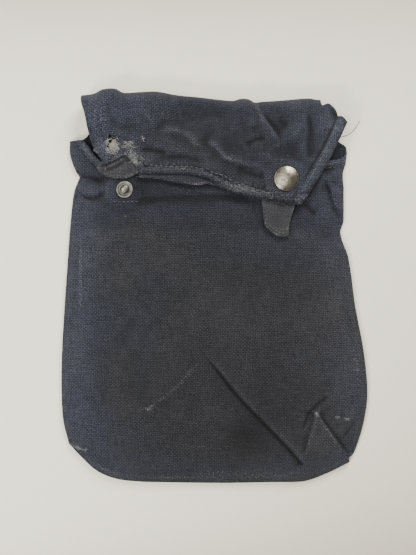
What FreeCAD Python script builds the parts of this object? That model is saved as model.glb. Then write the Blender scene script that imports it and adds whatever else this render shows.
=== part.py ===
import FreeCAD, Part
import math
import os

# A dark canvas pouch with a press-stud flap, lying on its back.
# X runs across the pouch, +Y towards the fold of the flap, +Z up.
# The origin is on the table, under the middle of the pouch. All sizes are millimetres.

# Overall sizes
pouch_width = 190.0
pouch_length = 240.0
front_height = 13.0

# Cloth
canvas = 1.2
lining = 0.5
hem_thickness = 1.0
tape_thickness = 0.8

# Plan of the pouch body
corner_radius = 45.0
widest_up = 55.0
left_taper = 7.0
right_taper = 15.0
mouth_drop = 32.0
mouth_sag = 20.0
mouth_hem_width = 6.0
side_slope = 20.0
tape_gap = 0.5
tape_width = 5.0

# Plan of the flap
fold_left_step = 8.0
fold_right_step = 14.0
flap_left_in = 12.0
flap_left_drop = 45.0
flap_right_in = 14.0
flap_right_drop = 70.5
ear_out = 15.0
ear_drop = 20.0
left_hem_width = 11.4
front_hem_width = 6.0
right_hem_width = 7.0

# Press studs
stud_flange_radius = 5.2
stud_flange = 0.8
stud_neck_radius = 2.1
stud_neck = 0.8
stud_head_radius = 2.75
stud_head = 1.1
stud_dome = 0.5
post_radius = 1.5
post_flange_radius = 4.8
post_flange = 0.6
post_clearance = 0.1
socket_radius = 5.6
socket_height = 3.2
socket_wall = 0.7
socket_gap = 0.2
head_clearance = 0.65
spring_wire_radius = 0.3
spring_play = 0.05  # free room round the spring in its groove
socket_lip = 0.4
socket_chamfer = 0.4
socket_back_chamfer = 0.3
spring_clearance = 0.45
cap_radius = 7.5
cap_height = 2.4
cap_shell = 0.5
cap_rim = 1.3
cap_disc = 0.4
left_stud_in = 13.0
left_stud_below = 15.5
right_snap_in = 8.4
right_snap_above = 16.2
patch_width = 22.0
patch_height = 17.0
patch_thickness = 1.0
torn_hole_radius = 3.5
torn_hole_in = 6.0
torn_hole_up = 11.0

# Pull tabs
tab_thickness = 1.5
tab_reach = 20.6
tab_root_gap = 0.5
tab_clearance = 0.4
folded_tab_reach = 6.0
folded_tab_width = 21.0

# Stitches
stitch_length = 2.4
stitch_width = 0.6
stitch_height = 0.25
stitch_pitch = 3.8
row_in_hem = 1.0

# Fold between the back and the flap
hinge_gap = 0.3
hinge_out = 0.2
floor_clearance = 0.1
lining_clearance = 0.1
tab_step = 0.1  # the tabs start this far under the flap's top

# Heights and places that follow from the sizes
bottom_y = -pouch_length / 2
fold_y = pouch_length / 2
left_x = -pouch_width / 2
right_x = pouch_width / 2
wall_rise = front_height - canvas
wall_angle = math.atan2(wall_rise, side_slope)
socket_z = front_height + stud_flange + socket_gap
flap_under = socket_z + socket_height
flap_top = flap_under + lining + canvas
cap_top = flap_top + cap_height
fold_z = cap_top / 2 + floor_clearance
flap_roll = flap_top - fold_z
mouth_y = fold_y - mouth_drop
mouth_left = left_x + left_taper
mouth_right = right_x - right_taper
mouth_middle = (mouth_left + mouth_right) / 2
fold_left = mouth_left + fold_left_step
fold_right = mouth_right - fold_right_step
reach = pouch_length

flap_left_corner = (fold_left + flap_left_in, fold_y - flap_left_drop)
flap_right_corner = (fold_right - flap_right_in, fold_y - flap_right_drop)
flap_ear = (fold_right + ear_out, fold_y - ear_drop)
left_stud = (flap_left_corner[0] + left_stud_in, flap_left_corner[1] - left_stud_below)
right_snap = (flap_right_corner[0] - right_snap_in, flap_right_corner[1] + right_snap_above)
torn_hole = (flap_left_corner[0] + torn_hole_in, flap_left_corner[1] + torn_hole_up)


# ---------------------------------------------------------------- plan geometry

def vec(x, y, z=0.0):
    return FreeCAD.Vector(x, y, z)


def unit(p, q):
    length = math.hypot(q[0] - p[0], q[1] - p[1])
    return ((q[0] - p[0]) / length, (q[1] - p[1]) / length)


def inset_polygon(points, insets):
    """Move each edge of an anticlockwise polygon inwards by its own distance."""
    lines = []
    for i, p in enumerate(points):
        q = points[(i + 1) % len(points)]
        ux, uy = unit(p, q)
        lines.append((p[0] - uy * insets[i], p[1] + ux * insets[i], ux, uy))
    moved = []
    for i in range(len(points)):
        ax, ay, aux, auy = lines[i - 1]
        bx, by, bux, buy = lines[i]
        along = ((bx - ax) * buy - (by - ay) * bux) / (aux * buy - auy * bux)
        moved.append((ax + aux * along, ay + auy * along))
    return moved


def rounded_wire(points, radii, z):
    """Closed wire with a tangent arc at each corner whose radius is above zero."""
    starts, ends, arcs = [], [], []
    for i, p in enumerate(points):
        before = unit(p, points[i - 1])
        after = unit(p, points[(i + 1) % len(points)])
        if radii[i] <= 0:
            starts.append(vec(*p, z))
            ends.append(vec(*p, z))
            arcs.append(None)
            continue
        half = math.acos(before[0] * after[0] + before[1] * after[1]) / 2
        run = radii[i] / math.tan(half)
        start = vec(p[0] + before[0] * run, p[1] + before[1] * run, z)
        end = vec(p[0] + after[0] * run, p[1] + after[1] * run, z)
        inward = unit((0, 0), (before[0] + after[0], before[1] + after[1]))
        depth = radii[i] / math.sin(half) - radii[i]
        middle = vec(p[0] + inward[0] * depth, p[1] + inward[1] * depth, z)
        starts.append(start)
        ends.append(end)
        arcs.append(Part.Arc(start, middle, end).toShape())
    edges = []
    for i in range(len(points)):
        if arcs[i] is not None:
            edges.append(arcs[i])
        edges.append(Part.LineSegment(ends[i], starts[(i + 1) % len(points)]).toShape())
    return Part.Wire(edges)


def prism(points, z0, z1, radii=None):
    wire = rounded_wire(points, radii or [0] * len(points), z0)
    return Part.Face(wire).extrude(vec(0, 0, z1 - z0))


def cylinder(centre, radius, z0, z1):
    return Part.makeCylinder(radius, z1 - z0, vec(*centre, z0))


def body_outline(top_points):
    """Sides and rounded bottom of the pouch, closed by the points given for its top."""
    widest_y = bottom_y + widest_up
    lower = [(left_x, bottom_y), (right_x, bottom_y), (right_x, widest_y)]
    return lower + top_points + [(left_x, widest_y)]


def body_radii(count, inset):
    radii = [0.0] * count
    radii[0] = corner_radius - inset
    radii[1] = corner_radius - inset
    return radii


def side_line(x_wide, x_mouth, y):
    """X of a side of the pouch where it is carried on in a straight line to height y."""
    widest_y = bottom_y + widest_up
    return x_wide + (x_mouth - x_wide) * (y - widest_y) / (mouth_y - widest_y)


def back_plan(inset):
    """Plan of the back: the pouch's sides, then in to the ends of the fold."""
    past = fold_y + mouth_drop
    step = (past - mouth_y) / mouth_drop
    top = [(mouth_right, mouth_y),
           (mouth_right - fold_right_step * step, past),
           (mouth_left + fold_left_step * step, past),
           (mouth_left, mouth_y)]
    outline = body_outline(top)
    return inset_polygon(outline, [inset] * len(outline)), body_radii(len(outline), inset)


def dish(depth):
    """The front's swelled shape, shrunk by a depth measured square to its skin."""
    past = fold_y + mouth_drop
    top = [(side_line(right_x, mouth_right, past), past), (side_line(left_x, mouth_left, past), past)]
    outline = body_outline(top)
    low = depth / math.sin(wall_angle)
    high = low + (wall_rise - depth) / math.tan(wall_angle)
    wires = []
    for inset, z in ((low, canvas), (high, front_height - depth)):
        points = inset_polygon(outline, [inset] * len(outline))
        wires.append(rounded_wire(points, body_radii(len(outline), inset), z))
    return Part.makeLoft(wires, True, True)


def rim_y(x, drop=0.0):
    """Height of the sagging mouth edge at x."""
    half = (mouth_right - mouth_left) / 2
    radius = (half ** 2 + mouth_sag ** 2) / (2 * mouth_sag)
    return mouth_y - mouth_sag + radius - math.sqrt(radius ** 2 - (x - mouth_middle) ** 2) - drop


def below_rim(drop):
    """Everything below the mouth edge, lowered by a distance."""
    left = vec(mouth_left, mouth_y - drop)
    right = vec(mouth_right, mouth_y - drop)
    lowest = vec(mouth_middle, rim_y(mouth_middle, drop))
    far = [vec(reach, mouth_y - drop), vec(reach, -reach), vec(-reach, -reach), vec(-reach, mouth_y - drop)]
    edges = [Part.Arc(left, lowest, right).toShape()]
    corners = [right] + far + [left]
    for i in range(len(corners) - 1):
        edges.append(Part.LineSegment(corners[i], corners[i + 1]).toShape())
    return Part.Face(Part.Wire(edges)).extrude(vec(0, 0, reach))


def above(z):
    return Part.makeBox(2 * reach, 2 * reach, reach, vec(-reach, -reach, z))


def fold_layer(side, roll, outer, inner):
    """A layer of cloth that lies flat and rolls to the fold; side is -1 for back, 1 for flap."""
    centre_y = fold_y - roll
    slant = math.sqrt(0.5)

    def bends(depth):
        radius = roll - depth
        flat_z = fold_z + side * radius
        return (vec(-reach, -reach, flat_z),
                vec(-reach, centre_y, flat_z),
                vec(-reach, centre_y + radius * slant, fold_z + side * radius * slant),
                vec(-reach, centre_y + radius, fold_z))

    o_flat, o_start, o_middle, o_end = bends(outer)
    i_flat, i_start, i_middle, i_end = bends(inner)
    edges = [Part.LineSegment(o_flat, o_start).toShape(),
             Part.Arc(o_start, o_middle, o_end).toShape(),
             Part.LineSegment(o_end, i_end).toShape(),
             Part.Arc(i_end, i_middle, i_start).toShape(),
             Part.LineSegment(i_start, i_flat).toShape(),
             Part.LineSegment(i_flat, o_flat).toShape()]
    sheet = Part.Face(Part.Wire(edges)).extrude(vec(2 * reach, 0, 0))
    gap = Part.makeBox(2 * reach, reach, hinge_gap, vec(-reach, 0, fold_z - hinge_gap / 2))
    return sheet.cut(gap)


# ---------------------------------------------------------------- back of the pouch

def back_panel():
    points, radii = back_plan(0)
    return fold_layer(-1, fold_z, 0, canvas).common(prism(points, 0, reach, radii))


def back_lining():
    inset = canvas / math.sin(wall_angle) + lining / math.tan(wall_angle) + lining_clearance
    points, radii = back_plan(inset)
    return fold_layer(-1, fold_z, canvas, canvas + lining).common(prism(points, 0, reach, radii))


def seam_tape():
    """Binding tape over the raw seam, a U inside the sides and bottom."""
    z0 = canvas + lining
    z1 = z0 + tape_thickness
    inset = (canvas + lining) / math.sin(wall_angle) + (z1 - canvas) / math.tan(wall_angle) + tape_gap
    outer, outer_radii = back_plan(inset)
    inner, inner_radii = back_plan(inset + tape_width)
    strip = prism(outer, z0, z1, outer_radii).cut(prism(inner, z0, z1, inner_radii))
    return strip.common(below_rim(mouth_hem_width + tape_thickness))


# ---------------------------------------------------------------- front of the pouch

def front_layer(outer, inner):
    return dish(outer).cut(dish(inner))


def stud_holes(shape):
    for centre in (left_stud, right_snap):
        shape = shape.cut(cylinder(centre, post_radius + post_clearance, canvas, front_height + canvas))
    return shape


def front_panel():
    return stud_holes(front_layer(0, canvas).common(below_rim(0)))


def front_lining():
    layer = front_layer(canvas, canvas + lining).common(above(canvas + lining))
    return stud_holes(layer.common(below_rim(mouth_hem_width)))


def mouth_hem():
    layer = front_layer(canvas, canvas + hem_thickness).common(above(canvas + lining))
    return stud_holes(layer.common(below_rim(0)).cut(below_rim(mouth_hem_width)))


def stud_patch(centre):
    top = front_height - canvas - lining
    corner = vec(centre[0] - patch_width / 2, centre[1] - patch_height / 2, top - patch_thickness)
    patch = Part.makeBox(patch_width, patch_height, patch_thickness, corner)
    return stud_holes(patch.common(below_rim(mouth_hem_width)))


def revolve(centre, z, profile):
    """Solid of revolution about a vertical axis; the profile is a closed wire in X and Z."""
    solid = Part.Face(profile).revolve(vec(0, 0), vec(0, 0, 1), 360)
    solid.translate(vec(*centre, z))
    return solid


def polyline(points):
    corners = [vec(r, 0, z) for r, z in points]
    return Part.makePolygon(corners + [corners[0]])


def dome_arc(radius, crown_z, edge_z):
    """Shallow arc in the XZ plane from the rim of a dome up to its crown, level at the crown."""
    drop = crown_z - edge_z
    sphere = (radius ** 2 + drop ** 2) / (2 * drop)
    half_z = crown_z - sphere + math.sqrt(sphere ** 2 - (radius / 2) ** 2)
    return Part.Arc(vec(radius, 0, edge_z), vec(radius / 2, 0, half_z), vec(0, 0, crown_z)).toShape()


def stud(centre):
    """Male half of a press stud: flange, neck, and a bulbed head with a bore for the post."""
    bore = post_radius + post_clearance
    neck_z = stud_flange + stud_neck
    dome_z = neck_z + stud_head
    crown_z = dome_z + stud_dome
    outline = [vec(0, 0, crown_z), vec(0, 0, neck_z), vec(bore, 0, neck_z), vec(bore, 0, 0),
               vec(stud_flange_radius, 0, 0), vec(stud_flange_radius, 0, stud_flange),
               vec(stud_neck_radius, 0, stud_flange), vec(stud_neck_radius, 0, neck_z),
               vec(stud_head_radius, 0, neck_z), vec(stud_head_radius, 0, dome_z)]
    edges = [dome_arc(stud_head_radius, crown_z, dome_z)]
    for i in range(len(outline) - 1):
        edges.append(Part.LineSegment(outline[i], outline[i + 1]).toShape())
    return revolve(centre, front_height, Part.Wire(Part.sortEdges(edges)[0]))


def stud_post(centre):
    """Rivet post that holds the stud from inside the pouch."""
    under = front_height - canvas - lining - patch_thickness
    top = front_height + stud_flange + stud_neck
    profile = [(0, under - post_flange), (post_flange_radius, under - post_flange),
               (post_flange_radius, under), (post_radius, under), (post_radius, top), (0, top)]
    return revolve(centre, 0, polyline(profile))


# ---------------------------------------------------------------- flap

def flap_plan(widths=(0, 0, 0)):
    """Plan of the flap, inset by widths along its left, front and right edges."""
    past = fold_y + ear_drop
    corners = [flap_left_corner, flap_right_corner, flap_ear, (fold_right, fold_y),
               (fold_right, past), (fold_left, past), (fold_left, fold_y)]
    left, front, right = widths
    return inset_polygon(corners, [front, right, right, right, 0, left, left])


def flap_layer(outer, inner, widths=(0, 0, 0)):
    layer = fold_layer(1, flap_roll, outer, inner).common(prism(flap_plan(widths), 0, reach))
    layer = layer.cut(cylinder(torn_hole, torn_hole_radius, 0, reach))
    return layer.cut(cylinder(right_snap, post_radius + post_clearance, 0, reach))


def flap_hem(name):
    """Turned hem under one edge of the flap; the front hem stops at the side hems."""
    depth = canvas + lining
    widths = (left_hem_width, front_hem_width, right_hem_width)
    keep = {"left": (1, 0, 0), "front": (0, 1, 0), "right": (0, 0, 1)}[name]
    sides = (0, 0, 0) if name != "front" else (left_hem_width, 0, right_hem_width)
    inner = tuple(w if k or s else 0 for w, k, s in zip(widths, keep, sides))
    band = flap_layer(depth, depth + hem_thickness, sides)
    band = band.cut(prism(flap_plan(inner), 0, reach))
    if name == "right":
        crossing = flap_layer(depth, depth + hem_thickness, (0, 0, 0))
        left_band = crossing.cut(prism(flap_plan((left_hem_width, 0, 0)), 0, reach))
        band = band.cut(left_band)
    return band


def snap_cap():
    """Domed cap, a thin shell with its rim turned under."""
    curl = cap_shell
    round_in = curl * (1 - math.sqrt(0.5))
    inner_radius = cap_radius - cap_shell
    inner_crown = vec(0, 0, cap_height - cap_shell)
    foot = [vec(cap_radius - curl, 0, 0), vec(cap_radius - cap_rim, 0, 0), vec(inner_radius, 0, curl)]
    edges = [dome_arc(inner_radius, cap_height - cap_shell, curl),
             Part.LineSegment(inner_crown, vec(0, 0, cap_height)).toShape(),
             dome_arc(cap_radius, cap_height, curl),
             Part.Arc(vec(cap_radius, 0, curl), vec(cap_radius - round_in, 0, round_in), foot[0]).toShape(),
             Part.LineSegment(foot[0], foot[1]).toShape(),
             Part.LineSegment(foot[1], foot[2]).toShape()]
    return revolve(right_snap, flap_top, Part.Wire(Part.sortEdges(edges)[0]))


def snap_post():
    """Disc inside the cap, with the barrel that goes through the flap into the socket."""
    disc = cap_radius - cap_rim
    low = socket_z + socket_height - socket_wall - flap_top
    profile = [(0, low), (post_radius, low), (post_radius, 0), (disc, 0), (disc, cap_disc), (0, cap_disc)]
    return revolve(right_snap, flap_top, polyline(profile))


def snap_socket():
    """Female half of the press stud, with a groove for its spring."""
    mouth = stud_head_radius + head_clearance
    groove = mouth + 2 * spring_wire_radius
    bore = post_radius + post_clearance
    h = socket_height
    groove_top = socket_lip + 2 * (spring_wire_radius + spring_play)
    profile = [(mouth, 0), (socket_radius - socket_chamfer, 0), (socket_radius, socket_chamfer),
               (socket_radius, h - socket_back_chamfer), (socket_radius - socket_back_chamfer, h),
               (bore, h), (bore, h - socket_wall), (mouth, h - socket_wall),
               (mouth, groove_top), (groove, groove_top), (groove, socket_lip), (mouth, socket_lip)]
    return revolve(right_snap, socket_z, polyline(profile))


def snap_spring():
    """Split ring of wire in the socket's groove."""
    ring_radius = stud_head_radius + spring_clearance + spring_wire_radius
    ring_z = socket_z + socket_lip + spring_wire_radius + spring_play
    split = 30.0
    ring = Part.makeTorus(ring_radius, spring_wire_radius, vec(0, 0), vec(0, 0, 1), 0, 360, 360 - split)
    ring.translate(vec(*right_snap, ring_z))
    return ring


# ---------------------------------------------------------------- pull tabs

edge_dir = unit(flap_left_corner, flap_right_corner)
edge_out = (edge_dir[1], -edge_dir[0])
front_edge_length = math.dist(flap_left_corner, flap_right_corner)


def by_edge(along, out):
    """Point given by distances along the flap's front edge and out from it."""
    return (flap_left_corner[0] + edge_dir[0] * along + edge_out[0] * out,
            flap_left_corner[1] + edge_dir[1] * along + edge_out[1] * out)


def drooped(shape, angle):
    """Turn a shape down about the top of the flap's front edge."""
    turned = shape.copy()
    turned.rotate(vec(*flap_left_corner, flap_top), vec(*edge_dir), angle)
    return turned


tab_top = flap_top - tab_step
right_droop = math.degrees(math.asin((tab_top - tab_thickness - front_height - tab_clearance) / tab_reach))
right_tab_outline = [(-21.3, tab_root_gap), (-2.7, tab_root_gap), (-4.7, 13.5), (-3.2, 19.5), (-9.2, tab_reach),
                     (-17.7, 16.3), (-20.7, 11.0)]


def right_pull_tab():
    """Short webbing tab hanging from the flap's edge by the snap."""
    points = [by_edge(front_edge_length + along, out) for along, out in right_tab_outline]
    points.reverse()
    return drooped(prism(points, tab_top - tab_thickness, tab_top), right_droop)


def left_pull_tab():
    """The matching tab, folded double under the flap's edge."""
    outline = [(1.0, tab_root_gap), (0.0, 3.5), (3.0, folded_tab_reach), (folded_tab_width - 1, 5.0),
               (folded_tab_width, tab_root_gap)]
    points = [by_edge(along, out) for along, out in outline]
    return prism(points, tab_top - 2 * tab_thickness, tab_top)


# ---------------------------------------------------------------- stitching

def stitch(point, direction, z):
    """One raised stitch, lying on the surface at z."""
    box = Part.makeBox(stitch_length, stitch_width, stitch_height, vec(-stitch_length / 2, -stitch_width / 2))
    box.rotate(vec(0, 0), vec(0, 0, 1), math.degrees(math.atan2(direction[1], direction[0])))
    box.translate(vec(*point, z))
    return box


def row(p, q, z, keep_clear=()):
    """Evenly spaced stitches from p to q, leaving out any inside a circle to keep clear."""
    direction = unit(p, q)
    length = math.dist(p, q)
    count = max(1, int(length // stitch_pitch))
    made = []
    for i in range(count):
        along = (i + 0.5) * length / count
        point = (p[0] + direction[0] * along, p[1] + direction[1] * along)
        if all(math.dist(point, centre) > radius + stitch_length for centre, radius in keep_clear):
            made.append(stitch(point, direction, z))
    return made


def edge_row(p, q, inset, trim_start, trim_end, keep_clear=()):
    """A row on top of the flap, parallel to the edge from p to q and inset to its left."""
    ux, uy = unit(p, q)
    length = math.dist(p, q)
    start = (p[0] - uy * inset + ux * trim_start, p[1] + ux * inset + uy * trim_start)
    end = (p[0] - uy * inset + ux * (length - trim_end), p[1] + ux * inset + uy * (length - trim_end))
    return row(start, end, flap_top, keep_clear)


def mouth_stitching():
    drop = mouth_hem_width - row_in_hem
    first = mouth_left + side_slope + stitch_length
    last = mouth_right - side_slope - stitch_length
    count = int((last - first) // stitch_pitch)
    keep_clear = [(left_stud, stud_flange_radius), (right_snap, stud_flange_radius)]
    made = []
    for i in range(count):
        x = first + (i + 0.5) * (last - first) / count
        point = (x, rim_y(x, drop))
        direction = unit((x - 1, rim_y(x - 1)), (x + 1, rim_y(x + 1)))
        if all(math.dist(point, centre) > radius + stitch_length for centre, radius in keep_clear):
            made.append(stitch(point, direction, front_height))
    return Part.makeCompound(made)


def patch_stitching():
    made = []
    for x, y in (left_stud, right_snap):
        half = patch_width / 2 - row_in_hem
        low = y - patch_height / 2 + row_in_hem
        made += row((x - half, low), (x + half, low), front_height)
        for side in (-1, 1):
            column = x + side * half
            top = min(y + stitch_pitch / 2, rim_y(column, mouth_hem_width + stitch_length))
            made += row((column, low + stitch_pitch / 2), (column, top), front_height)
    return Part.makeCompound(made)


def flap_stitching():
    hole = [(torn_hole, torn_hole_radius)]
    top_left = (fold_left, fold_y)
    made = []
    for inset in (left_hem_width - row_in_hem - 3.0, left_hem_width - row_in_hem):
        made += edge_row(top_left, flap_left_corner, inset, flap_roll + 1, front_hem_width, hole)
    front_inset = front_hem_width - row_in_hem
    front_clear = [(right_snap, cap_radius)] + hole
    made += edge_row(flap_left_corner, flap_right_corner, front_inset, left_hem_width, right_hem_width, front_clear)
    right_inset = right_hem_width - row_in_hem
    made += edge_row(flap_right_corner, flap_ear, right_inset, front_hem_width, right_hem_width)
    root = front_edge_length + right_tab_outline[0][0]
    low = by_edge(root, -row_in_hem)
    high = by_edge(root, -front_inset + stitch_width + stitch_length / 2)
    made += row(low, high, flap_top)
    return Part.makeCompound(made)


def tab_rows(path, droop):
    made = []
    for i in range(len(path) - 1):
        made += row(path[i], path[i + 1], tab_top)
    return Part.makeCompound([drooped(piece, droop) for piece in made])


def right_tab_stitching():
    path = [by_edge(front_edge_length + a, o) for a, o in ((-19.0, 12.0), (-16.2, 15.2), (-9.4, 18.6), (-5.2, 17.8))]
    return tab_rows(path, right_droop)


def left_tab_stitching():
    path = [by_edge(3.0, 3.6), by_edge(folded_tab_width - 3, 3.6)]
    return tab_rows(path, 0)


# ---------------------------------------------------------------- write one file per piece

pieces = {
    "back_panel": back_panel(),
    "back_lining": back_lining(),
    "seam_tape": seam_tape(),
    "front_panel": front_panel(),
    "front_lining": front_lining(),
    "mouth_hem": mouth_hem(),
    "mouth_stitching": mouth_stitching(),
    "stud_patch_left": stud_patch(left_stud),
    "stud_patch_right": stud_patch(right_snap),
    "patch_stitching": patch_stitching(),
    "stud_left": stud(left_stud),
    "stud_right": stud(right_snap),
    "stud_post_left": stud_post(left_stud),
    "stud_post_right": stud_post(right_snap),
    "flap_panel": flap_layer(0, canvas),
    "flap_lining": flap_layer(canvas, canvas + lining),
    "flap_hem_left": flap_hem("left"),
    "flap_hem_front": flap_hem("front"),
    "flap_hem_right": flap_hem("right"),
    "flap_stitching": flap_stitching(),
    "snap_cap": snap_cap(),
    "snap_post": snap_post(),
    "snap_socket": snap_socket(),
    "snap_spring": snap_spring(),
    "left_pull_tab": left_pull_tab(),
    "left_tab_stitching": left_tab_stitching(),
    "right_pull_tab": right_pull_tab(),
    "right_tab_stitching": right_tab_stitching(),
}

os.makedirs("parts", exist_ok=True)
for node, shape in pieces.items():
    solids = len(shape.Solids)
    print(f"{node}: {solids} solid(s), volume {shape.Volume:.1f} mm3, valid {shape.isValid()}")
    shape.exportStep(f"parts/{node}.step")
print(f"left stud {left_stud}, snap {right_snap}, flap top {flap_top:.3f}")
print(f"flap hinge y {fold_y + hinge_out:.3f}, z {fold_z:.3f}")
print(f"edge direction {edge_dir}, right droop {right_droop:.2f} degrees")
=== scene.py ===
import math

import bpy
import numpy as np
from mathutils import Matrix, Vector, geometry, kdtree


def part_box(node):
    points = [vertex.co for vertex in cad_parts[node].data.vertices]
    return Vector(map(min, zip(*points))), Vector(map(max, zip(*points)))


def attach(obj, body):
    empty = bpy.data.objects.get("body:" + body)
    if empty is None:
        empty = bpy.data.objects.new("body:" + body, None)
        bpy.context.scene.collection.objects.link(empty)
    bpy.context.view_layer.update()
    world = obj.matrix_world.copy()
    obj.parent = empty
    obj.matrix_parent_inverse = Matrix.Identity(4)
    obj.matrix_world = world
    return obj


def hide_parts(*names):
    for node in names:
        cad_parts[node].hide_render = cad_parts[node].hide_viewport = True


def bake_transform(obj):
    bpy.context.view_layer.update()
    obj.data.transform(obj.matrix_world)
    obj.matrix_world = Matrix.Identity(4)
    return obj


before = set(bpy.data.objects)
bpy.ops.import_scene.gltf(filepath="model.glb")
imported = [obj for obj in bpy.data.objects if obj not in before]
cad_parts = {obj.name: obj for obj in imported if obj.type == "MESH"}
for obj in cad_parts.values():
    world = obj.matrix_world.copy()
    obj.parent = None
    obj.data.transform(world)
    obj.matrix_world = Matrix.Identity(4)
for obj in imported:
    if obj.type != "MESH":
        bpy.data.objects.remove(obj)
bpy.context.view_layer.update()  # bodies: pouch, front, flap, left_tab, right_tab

mm = 0.001  # shapes below are worked out in millimetres and stored in metres

print("stage 1: camera, floor and light")

view = {"aimX": -4.0, "aimY": 5.7, "height": 673, "lens": 70}
floorLook = {"size": 12000, "level": -0.2, "colour": (0.955, 0.888, 0.725), "shade": (0.42, 0.383, 0.306)}
lamps = [
    {"name": "windowHigh", "at": (380, 900, 700), "size": 560, "power": 19.3, "colour": (1.0, 0.99, 0.97)},
    {"name": "windowLow", "at": (-470, -430, 640), "size": 220, "power": 5.5, "colour": (1.0, 0.97, 0.93)},
    {"name": "skyAbove", "at": (-260, 60, 1050), "size": 900, "power": 10.0, "colour": (0.98, 0.985, 1.0)},
]
roomLight = {"colour": (0.96, 0.97, 1.0), "strength": 0.33}


def placeCamera():
    data = bpy.data.cameras.new("overheadCamera")
    data.lens = view["lens"]
    camera = bpy.data.objects.new("overheadCamera", data)
    camera.location = (view["aimX"] * mm, view["aimY"] * mm, view["height"] * mm)
    bpy.context.scene.collection.objects.link(camera)
    bpy.context.scene.camera = camera


def placeLamps():
    for lamp in lamps:
        data = bpy.data.lights.new(lamp["name"], "AREA")
        data.shape = "DISK"
        data.size = lamp["size"] * mm
        data.energy = lamp["power"]
        data.color = lamp["colour"]
        holder = bpy.data.objects.new(lamp["name"], data)
        holder.location = Vector(lamp["at"]) * mm
        holder.rotation_euler = (-holder.location).to_track_quat("-Z", "Y").to_euler()
        bpy.context.scene.collection.objects.link(holder)
    world = bpy.data.worlds.new("room")
    world.use_nodes = True
    sky = world.node_tree.nodes["Background"]
    sky.inputs["Color"].default_value = (*roomLight["colour"], 1)
    sky.inputs["Strength"].default_value = roomLight["strength"]
    bpy.context.scene.world = world


print("stage 2: shading helpers")


class NodeSheet:
    # a material's node tree, with short calls for the nodes that the finishes share

    def __init__(self, name):
        self.material = bpy.data.materials.new(name)
        self.material.use_nodes = True
        self.tree = self.material.node_tree
        self.shader = self.tree.nodes["Principled BSDF"]

    def add(self, kind, **settings):
        node = self.tree.nodes.new(kind)
        for key, value in settings.items():
            setattr(node, key, value)
        return node

    def feed(self, source, socket):
        if isinstance(source, bpy.types.NodeSocket):
            self.tree.links.new(source, socket)
        else:
            socket.default_value = source

    def reckon(self, operation, a, b=None):
        node = self.add("ShaderNodeMath", operation=operation)
        self.feed(a, node.inputs[0])
        if b is not None:
            self.feed(b, node.inputs[1])
        return node.outputs[0]

    def plus(self, a, b):
        return self.reckon("ADD", a, b)

    def times(self, a, b):
        return self.reckon("MULTIPLY", a, b)

    def attribute(self, name, output="Fac"):
        return self.add("ShaderNodeAttribute", attribute_name=name).outputs[output]

    def noise(self, where, scale, detail=2.0, rough=0.5, stretch=None, distortion=0.0):
        if stretch:
            spread = self.add("ShaderNodeVectorMath", operation="MULTIPLY")
            self.feed(where, spread.inputs[0])
            spread.inputs[1].default_value = stretch
            where = spread.outputs[0]
        node = self.add("ShaderNodeTexNoise")
        self.feed(where, node.inputs["Vector"])
        node.inputs["Scale"].default_value = scale
        node.inputs["Detail"].default_value = detail
        node.inputs["Roughness"].default_value = rough
        node.inputs["Distortion"].default_value = distortion
        return node.outputs["Fac"]

    def blendColour(self, share, first, second, mode="MIX"):
        node = self.add("ShaderNodeMix", data_type="RGBA", blend_type=mode, clamp_factor=True)
        self.feed(share, node.inputs[0])
        self.feed((*first, 1) if isinstance(first, tuple) else first, node.inputs[6])
        self.feed((*second, 1) if isinstance(second, tuple) else second, node.inputs[7])
        return node.outputs[2]

    def ramp(self, value, low, high, toLow=0.0, toHigh=1.0):
        node = self.add("ShaderNodeMapRange", clamp=True, interpolation_type="SMOOTHSTEP")
        self.feed(value, node.inputs["Value"])
        node.inputs["From Min"].default_value = low
        node.inputs["From Max"].default_value = high
        node.inputs["To Min"].default_value = toLow
        node.inputs["To Max"].default_value = toHigh
        return node.outputs[0]

    def bump(self, height, depth):
        node = self.add("ShaderNodeBump")
        node.inputs["Strength"].default_value = 1.0
        node.inputs["Distance"].default_value = depth
        self.feed(height, node.inputs["Height"])
        self.tree.links.new(node.outputs[0], self.shader.inputs["Normal"])


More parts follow.
